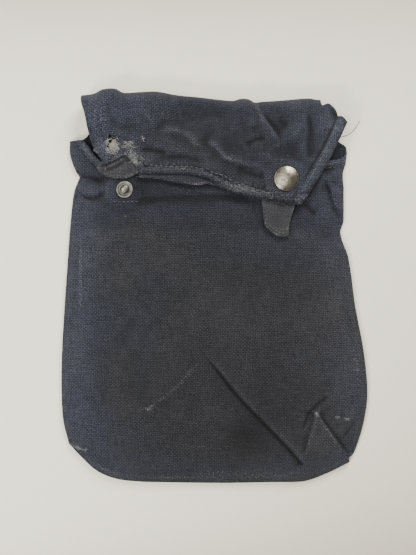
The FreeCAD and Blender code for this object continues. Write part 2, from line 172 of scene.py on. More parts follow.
def canvasFinish(name, look):
    # plain-weave canvas: crossing yarns, slubs, blotchy fading, rubbed ridges and unfaded blue; its darkening
    # also holds painted shade in creases and hollows, and its pale rubbing some painted highlights on folds
    sheet = NodeSheet(name)
    cloth = sheet.attribute("cloth", "Vector")
    split = sheet.add("ShaderNodeSeparateXYZ")
    sheet.feed(cloth, split.inputs[0])
    wander = sheet.noise(cloth, 0.045, 2.0)
    jitter = sheet.noise(cloth, 0.4, 1.0)
    shift = sheet.plus(sheet.times(wander, 3.0), sheet.times(jitter, look["jitter"]))
    across = sheet.times(sheet.plus(split.outputs[0], shift), math.pi / look["yarn"])
    along = sheet.times(sheet.plus(split.outputs[1], shift), math.pi / look["yarn"])
    crossing = sheet.times(sheet.reckon("SINE", across), sheet.reckon("SINE", along))
    crown = sheet.reckon("POWER", sheet.reckon("ABSOLUTE", crossing), 0.5)
    over = sheet.ramp(crossing, -0.5, 0.5)
    warp = sheet.noise(cloth, 1.0, 2.0, 0.6, stretch=(1.3, 0.11, 1.0))
    weft = sheet.noise(cloth, 1.0, 2.0, 0.6, stretch=(0.11, 1.3, 1.0))
    cloud = sheet.noise(cloth, 0.022, 5.0, 0.6)
    fleck = sheet.noise(cloth, 1.3, 3.0, 0.7)
    tone = sheet.plus(sheet.ramp(warp, 0.25, 0.75, -1, 1), sheet.ramp(weft, 0.25, 0.75, -1, 1))
    tone = sheet.times(tone, look["streak"])
    tone = sheet.plus(tone, sheet.ramp(cloud, 0.3, 0.7, -look["cloud"], look["cloud"]))
    tone = sheet.plus(tone, sheet.ramp(fleck, 0.3, 0.7, -look["fleck"], look["fleck"]))
    tone = sheet.plus(tone, sheet.ramp(over, 0, 1, -look["weave"], look["weave"]))
    tone = sheet.plus(tone, sheet.ramp(crown, 0.1, 0.95, -2.2 * look["weave"], 1.1 * look["weave"]))
    ground = sheet.blendColour(sheet.attribute("blue"), look["faded"], look["fresh"])
    ground = sheet.blendColour(sheet.ramp(cloud, 0.45, 0.75, 0.0, 0.4), ground, look["warm"])
    level = sheet.reckon("MAXIMUM", sheet.plus(tone, 1.0), 0.15)
    # darkening: the cloth's own darker tone, and painted shade in its creases and hollows
    level = sheet.times(level, sheet.reckon("SUBTRACT", 1.0, sheet.attribute("dim")))
    grey = sheet.add("ShaderNodeCombineColor")
    for channel in range(3):
        sheet.feed(level, grey.inputs[channel])
    colour = sheet.blendColour(1.0, ground, grey.outputs[0], "MULTIPLY")
    rubNoise = sheet.noise(cloth, 0.75, 4.0, 0.75)
    # pale rubbing: real wear, and painted highlight along some folds
    rub = sheet.plus(sheet.attribute("rub"), sheet.ramp(rubNoise, 0.3, 0.7, -0.38, 0.38))
    rub = sheet.times(sheet.ramp(rub, 0.25, 1.15), sheet.ramp(crown, 0.0, 0.9, 0.35, 1.0))
    colour = sheet.blendColour(rub, colour, look["rubbedAndLit"])
    sheet.feed(colour, sheet.shader.inputs["Base Color"])
    sheet.shader.inputs["Roughness"].default_value = 0.88
    sheet.shader.inputs["Specular IOR Level"].default_value = 0.25
    sheet.shader.inputs["Sheen Weight"].default_value = 0.05
    sheet.shader.inputs["Sheen Roughness"].default_value = 0.6
    relief = sheet.plus(crown, sheet.times(fleck, 0.5))
    relief = sheet.plus(relief, sheet.times(sheet.plus(warp, weft), 0.6))
    sheet.bump(relief, look["relief"] * mm)
    return sheet.material


canvasLook = {
    "yarn": 1.1, "jitter": 1.1, "streak": 0.34, "cloud": 0.16, "fleck": 0.50, "weave": 0.27, "relief": 0.45,
    "faded": (0.0166, 0.0164, 0.0193), "fresh": (0.0180, 0.0206, 0.0312), "warm": (0.0215, 0.0202, 0.0190),
    "rubbedAndLit": (0.17, 0.17, 0.168),
}
liningLook = dict(canvasLook, yarn=0.6, streak=0.10, weave=0.12, fleck=0.15, relief=0.15, cloud=0.06,
                  faded=(0.0155, 0.0175, 0.0255), fresh=(0.015, 0.0175, 0.027),
                  warm=(0.0165, 0.0170, 0.022), rubbedAndLit=(0.08, 0.08, 0.085))
tapeLook = dict(liningLook, yarn=0.9, streak=0.12, relief=0.3)
tabLook = dict(canvasLook, yarn=0.9, streak=0.14, weave=0.2, relief=0.3, faded=(0.031, 0.030, 0.0315),
               fresh=(0.025, 0.027, 0.034), warm=(0.031, 0.029, 0.027))


def threadFinish(name, colour, tip):
    sheet = NodeSheet(name)
    place = sheet.add("ShaderNodeTexCoord").outputs["Object"]
    speck = sheet.noise(place, 900, 3.0, 0.7)
    twist = sheet.noise(place, 2600, 1.0)
    tipped = sheet.blendColour(sheet.ramp(speck, 0.35, 0.7), colour, tip)
    sheet.feed(tipped, sheet.shader.inputs["Base Color"])
    sheet.shader.inputs["Roughness"].default_value = 0.85
    sheet.shader.inputs["Specular IOR Level"].default_value = 0.2
    sheet.bump(twist, 0.08 * mm)
    return sheet.material


capPlate = {"bright": (0.235, 0.208, 0.162), "dull": (0.165, 0.142, 0.108), "dirtAndShade": (0.05, 0.04, 0.03),
            "pitting": 0.6, "rough": 0.31, "relief": 0.08}
studPlate = {"bright": (0.17, 0.165, 0.142), "dull": (0.095, 0.092, 0.076), "dirtAndShade": (0.03, 0.028, 0.022),
             "pitting": 0.7, "rough": 0.34, "relief": 0.05}
dullBrass = {"bright": (0.50, 0.38, 0.20), "dull": (0.28, 0.21, 0.12), "dirtAndShade": (0.06, 0.045, 0.03),
             "pitting": 0.5, "rough": 0.38, "relief": 0.05}


def platedFinish(name, look):
    # nickel plate: fine scratches, dulled patches, dark pits, and darker places that each piece marks:
    # painted shade in the stud's low places and a thin dark ring near the cap's rim
    sheet = NodeSheet(name)
    place = sheet.add("ShaderNodeTexCoord").outputs["Object"]
    mottle = sheet.noise(place, 420, 5.0, 0.65)
    pits = sheet.noise(place, 1500, 2.0, 0.6)
    scratch = sheet.noise(place, 900, 2.0, 0.6, stretch=(1.0, 0.12, 1.0), distortion=0.4)
    colour = sheet.blendColour(sheet.ramp(mottle, 0.35, 0.68), look["bright"], look["dull"])
    colour = sheet.blendColour(sheet.ramp(pits, 0.60, 0.72, 0.0, look["pitting"]), colour, look["dirtAndShade"])
    # painted shade in the stud's recesses, and the cap's thin ring
    colour = sheet.blendColour(sheet.attribute("grimeAndShade"), colour, look["dirtAndShade"])
    sheet.feed(colour, sheet.shader.inputs["Base Color"])
    sheet.shader.inputs["Metallic"].default_value = 1.0
    rough = sheet.ramp(mottle, 0.3, 0.7, look["rough"] - 0.08, look["rough"] + 0.14)
    sheet.feed(rough, sheet.shader.inputs["Roughness"])
    sheet.bump(sheet.plus(mottle, sheet.times(scratch, 0.35)), look["relief"] * mm)
    return sheet.material


def floorFinish():
    sheet = NodeSheet("paleBoard")
    place = sheet.add("ShaderNodeTexCoord").outputs["Object"]
    cloud = sheet.noise(place, 3.0, 4.0, 0.6)
    grain = sheet.noise(place, 260, 3.0, 0.6)
    split = sheet.add("ShaderNodeSeparateXYZ")
    sheet.feed(place, split.inputs[0])
    across, along = split.outputs[0], split.outputs[1]
    # painted shade: the floor darkens to the right, towards the far ends and most at the lower right, then
    # returns to its own colour far off, in place of the lamps' falloff
    lightFalloff = sheet.plus(sheet.times(across, 1.8), 0.10)
    farAlong = sheet.reckon("POWER", sheet.reckon("ABSOLUTE", along), 4)
    lightFalloff = sheet.plus(lightFalloff, sheet.times(farAlong, 650))
    lightFalloff = sheet.reckon("SUBTRACT", lightFalloff, sheet.times(sheet.times(across, along), 6.5))
    lightFalloff = sheet.plus(lightFalloff, sheet.times(cloud, 0.04))
    reach = sheet.add("ShaderNodeVectorMath", operation="LENGTH")
    sheet.feed(place, reach.inputs[0])
    nearby = sheet.ramp(reach.outputs["Value"], 0.24, 0.75, 1.0, 0.0)
    greyed = sheet.times(sheet.ramp(lightFalloff, -0.15, 1.15, 0.0, 0.8), nearby)
    colour = sheet.blendColour(greyed, floorLook["colour"], floorLook["shade"])
    sheet.feed(colour, sheet.shader.inputs["Base Color"])
    sheet.shader.inputs["Roughness"].default_value = 0.6
    sheet.shader.inputs["Specular IOR Level"].default_value = 0.3
    sheet.bump(grain, 0.03 * mm)
    return sheet.material


def makePiece(name, points, faces, material, marks=None):
    # one smooth-shaded object from points in millimetres, with the marks as values at its points
    mesh = bpy.data.meshes.new(name)
    mesh.from_pydata((np.array(points) * mm).tolist(), [], faces)
    mesh.update()
    mesh.shade_smooth()
    for key, values in (marks or {}).items():
        kind, field = ("FLOAT_VECTOR", "vector") if values.ndim == 2 else ("FLOAT", "value")
        mesh.attributes.new(key, kind, "POINT").data.foreach_set(field, values.astype(np.float32).ravel())
    mesh.materials.append(material)
    piece = bpy.data.objects.new(name, mesh)
    bpy.context.scene.collection.objects.link(piece)
    return piece


def layFloor():
    half, low = floorLook["size"] / 2, floorLook["level"]
    corners = [(-half, -half, low), (half, -half, low), (half, half, low), (-half, half, low)]
    makePiece("paleFloor", corners, [(0, 1, 2, 3)], floorFinish())


placeCamera()
placeLamps()
layFloor()
canvasCloth = canvasFinish("wornCanvas", canvasLook)
liningCloth = canvasFinish("blackLining", liningLook)
tapeCloth = canvasFinish("blackTape", tapeLook)
tabCloth = canvasFinish("tabCanvas", tabLook)
sewingThread = threadFinish("fadedThread", (0.038, 0.040, 0.045), (0.135, 0.136, 0.136))
waddingFluff = threadFinish("wadding", (0.085, 0.08, 0.066), (0.25, 0.237, 0.205))
paleThread = threadFinish("bareCotton", (0.15, 0.145, 0.13), (0.34, 0.33, 0.30))
darkThread = threadFinish("looseThread", (0.06, 0.055, 0.048), (0.13, 0.12, 0.105))
capMetal = platedFinish("wornCapPlate", capPlate)
studMetal = platedFinish("studPlate", studPlate)
brassMetal = platedFinish("dullBrass", dullBrass)

print("stage 3: lines and surfaces")


def smoothRun(points, step=1.0):
    # a smooth line through given points, evenly stepped, that doesn't overshoot
    knots = np.array(points, float)
    count = len(knots)
    made = []
    for i in range(count - 1):
        p1, p2 = knots[i], knots[i + 1]
        p0 = knots[i - 1] if i > 0 else 2 * p1 - p2
        p3 = knots[i + 2] if i < count - 2 else 2 * p2 - p1
        gap0, gap1, gap2 = (max(np.linalg.norm(b - a), 1e-6) for a, b in ((p0, p1), (p1, p2), (p2, p3)))
        m1 = (p2 - p0) * gap1 / (gap0 + gap1)
        m2 = (p3 - p1) * gap1 / (gap1 + gap2)
        steps = max(2, int(round(gap1 / step)))
        t = (np.arange(steps) / steps)[:, None]
        made.append((2 * t**3 - 3 * t**2 + 1) * p1 + (t**3 - 2 * t**2 + t) * m1
                    + (-2 * t**3 + 3 * t**2) * p2 + (t**3 - t**2) * m2)
    made.append(knots[-1:])
    return np.concatenate(made)


def closedLoop(*runs, step=1.0):
    # smooth runs joined end to end, sharp only where one run meets the next
    return np.concatenate([smoothRun(run, step)[:-1] for run in runs])


def besideLine(x, y, line, closed=False):
    # signed distance, positive on the left of the way along, and the share of the way along
    ends = np.concatenate([line, line[:1]]) if closed else line
    starts, spans = ends[:-1], np.diff(ends, axis=0)
    lengths = np.maximum(np.hypot(spans[:, 0], spans[:, 1]), 1e-9)
    before = np.concatenate([[0], np.cumsum(lengths)])
    nearest, side, way = np.full(len(x), 1e9), np.ones(len(x)), np.zeros(len(x))
    for start, span, length, done in zip(starts, spans, lengths, before):
        dx, dy = x - start[0], y - start[1]
        t = np.clip((dx * span[0] + dy * span[1]) / length**2, 0, 1)
        gap = np.hypot(dx - t * span[0], dy - t * span[1])
        closer = gap < nearest
        nearest = np.where(closer, gap, nearest)
        side = np.where(closer, np.where(span[0] * dy - span[1] * dx >= 0, 1.0, -1.0), side)
        way = np.where(closer, (done + t * length) / before[-1], way)
    return nearest * side, way


def gapTo(x, y, line):
    return np.abs(besideLine(x, y, line)[0])


def insideLoop(x, y, loop):
    within = np.zeros(len(x), bool)
    for a, b in zip(loop, np.roll(loop, -1, axis=0)):
        crosses = (a[1] > y) != (b[1] > y)
        if abs(b[1] - a[1]) > 1e-12:
            within ^= crosses & (x < (b[0] - a[0]) * (y - a[1]) / (b[1] - a[1]) + a[0])
    return within


def ease(value, low, high):
    t = np.clip((value - low) / (high - low), 0, 1)
    return t * t * (3 - 2 * t)


def bell(gap, width):
    return np.exp(-(gap / width) ** 2)


def hump(x, y, at, size):
    return np.exp(-((x - at[0]) / size[0]) ** 2 - ((y - at[1]) / size[1]) ** 2)


def spots(x, y, marks):
    # adds up soft spots, each a share, a middle and a size
    return sum(share * hump(x, y, at, size) for share, at, size in marks)


def softNoise(x, y, size, seed):
    # smooth random hills between -1 and 1, the same at every run
    hills = np.random.default_rng(seed).random((64, 64)) * 2 - 1
    gx, gy = x / size + 200.0, y / size + 200.0
    ix, iy = np.floor(gx).astype(int), np.floor(gy).astype(int)
    fx, fy = gx - ix, gy - iy
    fx, fy = fx * fx * (3 - 2 * fx), fy * fy * (3 - 2 * fy)
    a, b = hills[ix % 64, iy % 64], hills[(ix + 1) % 64, iy % 64]
    c, d = hills[ix % 64, (iy + 1) % 64], hills[(ix + 1) % 64, (iy + 1) % 64]
    return (a * (1 - fx) + b * fx) * (1 - fy) + (c * (1 - fx) + d * fx) * fy


def nearLine(x, y, line, reach):
    low, high = line.min(0) - reach, line.max(0) + reach
    return np.flatnonzero((x > low[0]) & (x < high[0]) & (y > low[1]) & (y < high[1]))


def foldLine(line, lift, left, right, fade=(0.25, 0.25), rounding=0.6):
    # a fold: its line, its lift, how far the lift reaches on each side, and the shares of its ends that fade
    return {"line": line, "lift": lift, "left": left, "right": right, "fade": fade, "rounding": rounding}


def lapLine(line, up, down, left, right, sharp, fade):
    # an overlap: its line, its rise and drop, and how far they reach on each side
    return {"line": line, "up": up, "down": down, "left": left, "right": right, "sharp": sharp, "fade": fade}


def foldRise(gap, fold):
    # the lift dies away at its own rate on each side of the line
    softGap = np.sqrt(gap**2 + fold["rounding"] ** 2) - fold["rounding"]
    return fold["lift"] * np.where(gap > 0, np.exp(-softGap / fold["left"]), np.exp(-softGap / fold["right"]))


def lapRise(gap, lap):
    # high on the left of the line, dropping sharply on the right, both sides levelling out
    edge = 1 / (1 + np.exp(-gap / lap["sharp"]))
    high = lap["up"] * np.exp(-np.maximum(gap, 0) / lap["left"])
    low = -lap["down"] * np.exp(-np.maximum(-gap, 0) / lap["right"])
    return high * edge + low * (1 - edge)


def liftAlong(x, y, mark, rise):
    # raises the points near a fold or an overlap, fading at the line's ends
    line = smoothRun(mark["line"], 2.0)
    near = nearLine(x, y, line, 5 * max(mark["left"], mark["right"]))
    gap, way = besideLine(x[near], y[near], line)
    start, end = mark["fade"]
    fade = (ease(way, 0, start) if start else 1.0) * (1 - ease(way, 1 - end, 1) if end else 1.0)
    lift = np.zeros(len(x))
    lift[near] = rise(gap, mark) * fade
    return lift


def addFolds(z, x, y, folds, laps):
    for fold in folds:
        z += liftAlong(x, y, fold, foldRise)
    for lap in laps:
        z += liftAlong(x, y, lap, lapRise)
    return z


def clearOf(x, y, loop):
    # distance from each point to the nearest corner of a closely stepped loop
    tree = kdtree.KDTree(len(loop))
    for i, p in enumerate(loop):
        tree.insert((p[0], p[1], 0), i)
    tree.balance()
    return np.array([tree.find((a, b, 0))[2] for a, b in zip(x.tolist(), y.tolist())])


def bulge(plan, z, rounds):
    # how far each point stands above its surroundings: positive on ridges, negative in creases
    triangles = plan[1]
    a = np.concatenate([triangles[:, 0], triangles[:, 1], triangles[:, 2]])
    b = np.concatenate([triangles[:, 1], triangles[:, 2], triangles[:, 0]])
    level, count = z.copy(), np.bincount(a, minlength=len(z)) + np.bincount(b, minlength=len(z))
    for i in range(rounds):
        total = np.bincount(a, level[b], len(z)) + np.bincount(b, level[a], len(z))
        level = 0.4 * level + 0.6 * total / np.maximum(count, 1)
    return z - level


def foldWearAndShade(plan, z, marks, flat, amount=1.0):
    # cloth is rubbed pale along its ridges; painted shade darkens its creases and painted light brightens its
    # ridges, showing the folds
    fine, broad = bulge(plan, z, 5) * flat, bulge(plan, z, 45) * flat
    ridge = 0.7 * np.clip(fine / 0.20, 0, 1.1) + np.clip(broad / 0.6, 0, 1.2)
    crease = 0.8 * np.clip(-fine / 0.16, 0, 1.2) + np.clip(-broad / 0.55, 0, 1.2)
    marks["rub"] = np.clip(marks["rub"] + 0.08 * ridge, 0, 1.15)
    # painted shade in the creases, painted light on the ridges
    marks["dim"] = np.clip(marks["dim"] + amount * (0.30 * crease - 0.27 * ridge), -0.8, 0.74)
    return marks


def hexPoints(loop, step):
    low, high = loop.min(0), loop.max(0)
    rows = np.arange(low[1], high[1], step * 0.866)
    columns = np.arange(low[0], high[0], step)
    gx, gy = np.meshgrid(columns, rows)
    gx = gx + (np.arange(len(rows)) % 2)[:, None] * step / 2
    return gx.ravel(), gy.ravel()


def clothPlan(loop, step, holes=(), rings=(0.5, 1.2, 2.1), fineArea=None, fineStep=None):
    # triangles that fill a loop: rings of points close inside its edge, then an even lattice
    loops = [loop, *holes]
    points, edges = [], []
    for edgeLoop in loops:
        first = len(points)
        points += [tuple(p) for p in edgeLoop]
        count = len(edgeLoop)
        edges += [(first + i, first + (i + 1) % count) for i in range(count)]
    before, after = np.roll(loop, 1, axis=0), np.roll(loop, -1, axis=0)
    tangent = after - before
    tangent /= np.maximum(np.hypot(tangent[:, 0], tangent[:, 1]), 1e-9)[:, None]
    area = 0.5 * np.sum(loop[:, 0] * after[:, 1] - after[:, 0] * loop[:, 1])
    inward = np.stack([-tangent[:, 1], tangent[:, 0]], 1) * (1 if area > 0 else -1)
    extra = [(loop + inward * ring, ring * 0.8) for ring in rings]
    gx, gy = hexPoints(loop, step)
    if fineArea is not None:
        coarse = ~insideLoop(gx, gy, fineArea)
        extra.append((np.stack([gx[coarse], gy[coarse]], 1), rings[-1] + step * 0.6))
        gx, gy = hexPoints(loop, fineStep)
        fine = insideLoop(gx, gy, fineArea)
        extra.append((np.stack([gx[fine], gy[fine]], 1), rings[-1] + fineStep * 0.6))
    else:
        extra.append((np.stack([gx, gy], 1), rings[-1] + step * 0.6))
    for group, margin in extra:
        x, y = group[:, 0], group[:, 1]
        keep = insideLoop(x, y, loop)
        x, y = x[keep], y[keep]
        far = clearOf(x, y, loop) >= margin
        for hole in holes:
            far &= ~insideLoop(x, y, hole) & (clearOf(x, y, hole) > 0.6)
        points += list(zip(x[far], y[far]))
    made = geometry.delaunay_2d_cdt([Vector(p) for p in points], edges, [], 0, 1e-5)
    flat = np.array([tuple(v) for v in made[0]])
    triangles = np.array(made[2])
    middle = flat[triangles].mean(axis=1)
    inside = insideLoop(middle[:, 0], middle[:, 1], loop)
    for hole in holes:
        inside &= ~insideLoop(middle[:, 0], middle[:, 1], hole)
    triangles = triangles[inside]
    used = np.unique(triangles)
    renumber = np.full(len(flat), -1)
    renumber[used] = np.arange(len(used))
    return flat[used], renumber[triangles]


def surfaceNormals(points, triangles):
    a, b, c = (points[triangles[:, i]] for i in range(3))
    faces = np.cross(b - a, c - a)
    normals = np.zeros_like(points)
    for i in range(3):
        np.add.at(normals, triangles[:, i], faces)
    return normals / np.maximum(np.linalg.norm(normals, axis=1), 1e-12)[:, None]


def sewCloth(name, plan, points, thick, material, marks=None, layer=0.0):
    # a closed sheet of cloth: outer face, inner face a thickness below it, and a rounded rim
    flat, triangles = plan
    normals = surfaceNormals(points, triangles)
    under = points - normals * thick
    pairs = np.concatenate([triangles[:, [0, 1]], triangles[:, [1, 2]], triangles[:, [2, 0]]])
    codes = pairs[:, 0].astype(np.int64) * len(points) + pairs[:, 1]
    back = pairs[:, 1].astype(np.int64) * len(points) + pairs[:, 0]
    rim = pairs[~np.isin(codes, back)]
    rimPoints = np.unique(rim)
    outward = np.zeros_like(points)
    way = points[rim[:, 1]] - points[rim[:, 0]]
    for i in range(2):
        np.add.at(outward, rim[:, i], np.cross(way, normals[rim[:, i]]))
    outward = outward[rimPoints]
    outward /= np.maximum(np.linalg.norm(outward, axis=1), 1e-9)[:, None]
    middle = points[rimPoints] - normals[rimPoints] * thick / 2 + outward * thick * 0.32
    count = len(points)
    slot = np.full(count, -1)
    slot[rimPoints] = 2 * count + np.arange(len(rimPoints))
    faces = triangles.tolist() + (triangles[:, ::-1] + count).tolist()
    a, b = rim[:, 0], rim[:, 1]
    faces += np.stack([b, a, slot[a], slot[b]], 1).tolist()
    faces += np.stack([slot[b], slot[a], a + count, b + count], 1).tolist()
    every = np.concatenate([points, under, middle])
    plane = np.column_stack([flat, np.full(len(flat), layer)])
    spread = {"cloth": np.concatenate([plane, plane, plane[rimPoints]])}
    for key in ("rub", "blue", "dim"):
        values = marks[key] if marks else np.zeros(len(points))
        spread[key] = np.concatenate([values, values * 0.6, values[rimPoints]])
    return makePiece(name, every, faces, material, spread)


print("stage 4: the outline, the front and its creases")

# plan of the pouch, anticlockwise from the left end of the mouth
leftSide = [(-89.8, 90.2), (-89.6, 82), (-86.0, 71.5), (-83.6, 68.2), (-86.2, 61.5), (-88.6, 48), (-91.2, 15),
            (-94.6, -38), (-95.0, -66), (-93.8, -84), (-90.2, -97.5)]
leftCorner = [(-90.2, -97.5), (-84.4, -104.0), (-73, -114.4), (-60, -119.6), (-44, -121.3)]
bottomSide = [(-44, -121.3), (0, -121.9), (40, -121.4), (56, -120.8), (70, -115.8), (83.9, -108.8)]
rightSide = [(83.4, -106.2), (86.5, -103), (91.8, -88), (95.0, -68), (93.0, -42), (87.5, -12), (83.2, 18),
             (78.0, 33.4), (80.0, 41), (80.2, 60), (79.8, 71), (81.4, 77), (82.2, 83.8)]
frontRim = [(82.2, 83.8), (80.5, 80.4), (76.3, 78.5), (69, 77.6), (60, 76.4), (42, 73.5), (5, 71.5),
            (-35, 71.8), (-58, 73.2), (-66, 74.8), (-70.6, 77.6), (-74.8, 82), (-77.8, 86.4), (-81.2, 90.2)]
rimEnd = [(-81.2, 90.2), (-89.8, 90.2)]
corner = [(83.9, -108.8), (83.4, -106.2)]

frontLoop = closedLoop(leftSide, leftCorner, bottomSide, corner, rightSide, frontRim, rimEnd, step=1.0)
sewnEdge = np.concatenate([smoothRun(run, 2.0) for run in (leftSide, leftCorner, bottomSide, rightSide)])


def planMiddle(box):
    return ((box[0].x + box[1].x) / 2 / mm, (box[0].y + box[1].y) / 2 / mm)


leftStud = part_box("stud_left")
leftStudAt = planMiddle(leftStud)
rightStudAt = planMiddle(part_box("stud_right"))
studSeat = leftStud[0].z / mm
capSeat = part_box("snap_cap")[0].z / mm

clothThick = {"canvas": 1.1, "hem": 0.9, "lining": 0.35, "flapLining": 0.3, "tape": 0.5}
layerDrop = {"frontLining": 1.45, "mouthHem": 2.0, "flapLining": 1.2, "flapHem": 1.75}  # below the outer face
backLevel = {"lining": 1.6, "tape": 2.35, "clear": 2.15}  # heights of what lies on the back cloth
liningInset = 2.4
frontShape = {"edge": 2.6, "rise": 9.9, "reach": 12.0, "power": 1.15, "ridgeIn": 4.0, "ridge": 0.55,
              "ridgeWidth": 1.7, "sag": 1.1, "sagAt": (-4, -30), "sagSize": (52, 62), "sway": 0.45,
              "pucker": 0.16, "mouthLift": 0.5, "hemWidth": 4.4, "hemRoll": 0.6, "studPad": 6.0}
longCrease = [(-10, -37), (4, -53.5), (16, -68), (32, -84.5), (47.7, -101), (56, -111)]
paleArm = [(-10, -46), (-24, -62), (-41, -75)]
frontFolds = [
    # the long slanting crease of the lower front
    foldLine(longCrease, -0.9, 0.8, 1.2, fade=(0.3, 0.05), rounding=0.3),
    # the faint pale arm beside it, and the bend above them both
    foldLine(paleArm, 0.4, 1.8, 2.2),
    foldLine([(-40, -18), (-24, -34), (-8, -48)], -0.5, 7, 7),
    # curved crease above the dart
    foldLine([(72, -65.5), (64, -71.3), (57.5, -78.5), (53.5, -89)], -1.8, 2.6, 0.9, rounding=0.25),
    foldLine([(87, -82), (84, -88), (78.5, -93)], -1.2, 1.0, 1.6, rounding=0.3),
    foldLine([(93, -60), (91, -74), (86, -84)], -0.7, 1.2, 1.2),
    # small tuck at the lower left corner
    foldLine([(-93, -93), (-86, -99), (-77, -105)], -1.0, 1.5, 1.2, fade=(0.05, 0.5)),
    foldLine([(-79, -99), (-74, -108)], -0.6, 1.3, 1.3),
    # fold under the flap, a swell with a shadow line below it
    foldLine([(-66, 50.5), (-42, 52.5), (-18, 54), (6, 54.6), (26, 51)], -1.5, 2.6, 3.2, fade=(0.2, 0.15)),
    foldLine([(-30, 60), (-8, 58.6), (14, 57.5)], 0.8, 3, 3),
    # pinch at the left of the mouth and the lobe below it
    foldLine([(-88, 68.6), (-79, 68.0), (-71, 66.0), (-64, 68)], -2.6, 1.6, 2.4, fade=(0.0, 0.35),
             rounding=0.4),
    foldLine([(-88.5, 60.5), (-80, 55.5), (-73, 54.6), (-66, 59.5)], -2.0, 1.2, 3.5, fade=(0.1, 0.3)),
    # pulls at the right of the mouth
    foldLine([(67, 67), (70.5, 60), (74, 49), (79.6, 38)], -3.0, 1.1, 4.0, fade=(0.25, 0.0), rounding=0.35),
    foldLine([(54.5, 52), (58, 47.5), (62.8, 43.5)], -1.4, 1.6, 1.0),
    foldLine([(66, 70.5), (74, 73), (80.5, 76)], -1.6, 1.2, 1.8, fade=(0.2, 0.0)),
    foldLine([(72, 66), (76, 62), (80.5, 60.5)], -1.0, 1.2, 1.2),
    foldLine([(64, 36), (72, 30), (79, 27)], -0.5, 4, 4),
]
frontLaps = [
    lapLine(longCrease, 0.8, 1.8, 10, 12, 0.3, (0.3, 0.05)),
    # dart at the lower right: a flat facet that laps over the corner
    lapLine([(85, -108), (76.3, -96.2), (70, -87.5), (62.6, -77.4)], 1.2, 2.2, 9, 5, 0.28, (0.0, 0.06)),
    lapLine([(62.6, -77.4), (59.4, -88), (57, -96), (54.8, -105)], 1.5, 1.9, 7, 7, 0.45, (0.05, 0.3)),
]


def settleTo(z, x, y, at, level, flatRadius, fadeRadius):
    # levels the cloth round a piece of hardware
    gap = np.hypot(x - at[0], y - at[1])
    share = 1 - ease(gap, flatRadius, fadeRadius)
    return z * (1 - share) + level * share


mouthEdge = smoothRun(frontRim, 2.0)


def hemRoll(gap, width, height):
    # a turned hem stands proud inside its width and dips along its stitch row
    return height * bell(gap - width * 0.45, width * 0.4) - height * 0.8 * bell(gap - width, 0.75)


def frontHeight(x, y):
    shape = frontShape
    gap = gapTo(x, y, sewnEdge)
    z = shape["edge"] + shape["rise"] * (1 - np.exp(-(gap / shape["reach"]) ** shape["power"]))
    z += shape["ridge"] * np.exp(-((gap - shape["ridgeIn"]) / shape["ridgeWidth"]) ** 2)
    inner = ease(gap, 2, 24)
    z -= shape["sag"] * inner * hump(x, y, shape["sagAt"], shape["sagSize"])
    z += shape["sway"] * inner * softNoise(x, y, 38, 3)
    z += shape["pucker"] * ease(gap, 1, 8) * softNoise(x, y, 13, 4)
    z = addFolds(z, x, y, frontFolds, frontLaps)
    z += shape["mouthLift"] * ease(y, 44, 60) * ease(gap, 5, 20)
    z += hemRoll(gapTo(x, y, mouthEdge), shape["hemWidth"], shape["hemRoll"])
    z = settleTo(z, x, y, leftStudAt, studSeat, shape["studPad"], 15.0)
    z = settleTo(z, x, y, rightStudAt, studSeat, shape["studPad"], 14.0)
    ceiling = studSeat + 0.25  # a soft ceiling, so that nothing stands above the stud's flange
    z = np.where(z > ceiling - 1, ceiling - 1 + np.tanh(z - ceiling + 1), z)
    return np.maximum(z, shape["edge"] - 0.3)


# soft marks on the front, each a share, a middle and a size; a share below 0 makes the cloth lighter
frontSpots = {"rubbedAndLit": [(0.95, (75.6, -80), (1.6, 1.1)), (0.95, (81.5, -81.4), (2.2, 1.2)),
                         (0.7, (-84.3, -99.8), (1.6, 1.2)), (0.7, (-79.4, -100.2), (1.4, 1.2)),
                         (0.8, (62.8, -77.8), (1.3, 1.3)), (0.55, (-54.7, 43.5), (1.6, 0.9)),
                         (0.25, (74, 52), (5, 11)), (0.30, (12, -115), (38, 2.4)),
                         (0.22, (-40, -75), (16, 2)), (0.2, (-18, -98), (20, 2))],
              # the share below 0 at (68, -96) is painted light on the dart's flat facet
              "dark": [(0.13, (20, -55), (26, 30)), (-0.36, (68, -96), (8, 9)),
                       (-0.16, (30, -115), (26, 3))]}
# rubbed lines, each a share, a width and the line
frontScuffs = [(0.35, 0.9, paleArm), (0.42, 1.3, [(-83.3, 32), (-82.6, 10), (-82.9, -14)]),
               (0.5, 0.8, [(-91, -97.6), (-86, -99.6), (-80, -101.4)])]
dartEdges = [[(81, -106), (75, -97), (68.6, -88), (62.6, -78.6)], [(62.4, -79), (59.4, -88), (56.2, -98)]]


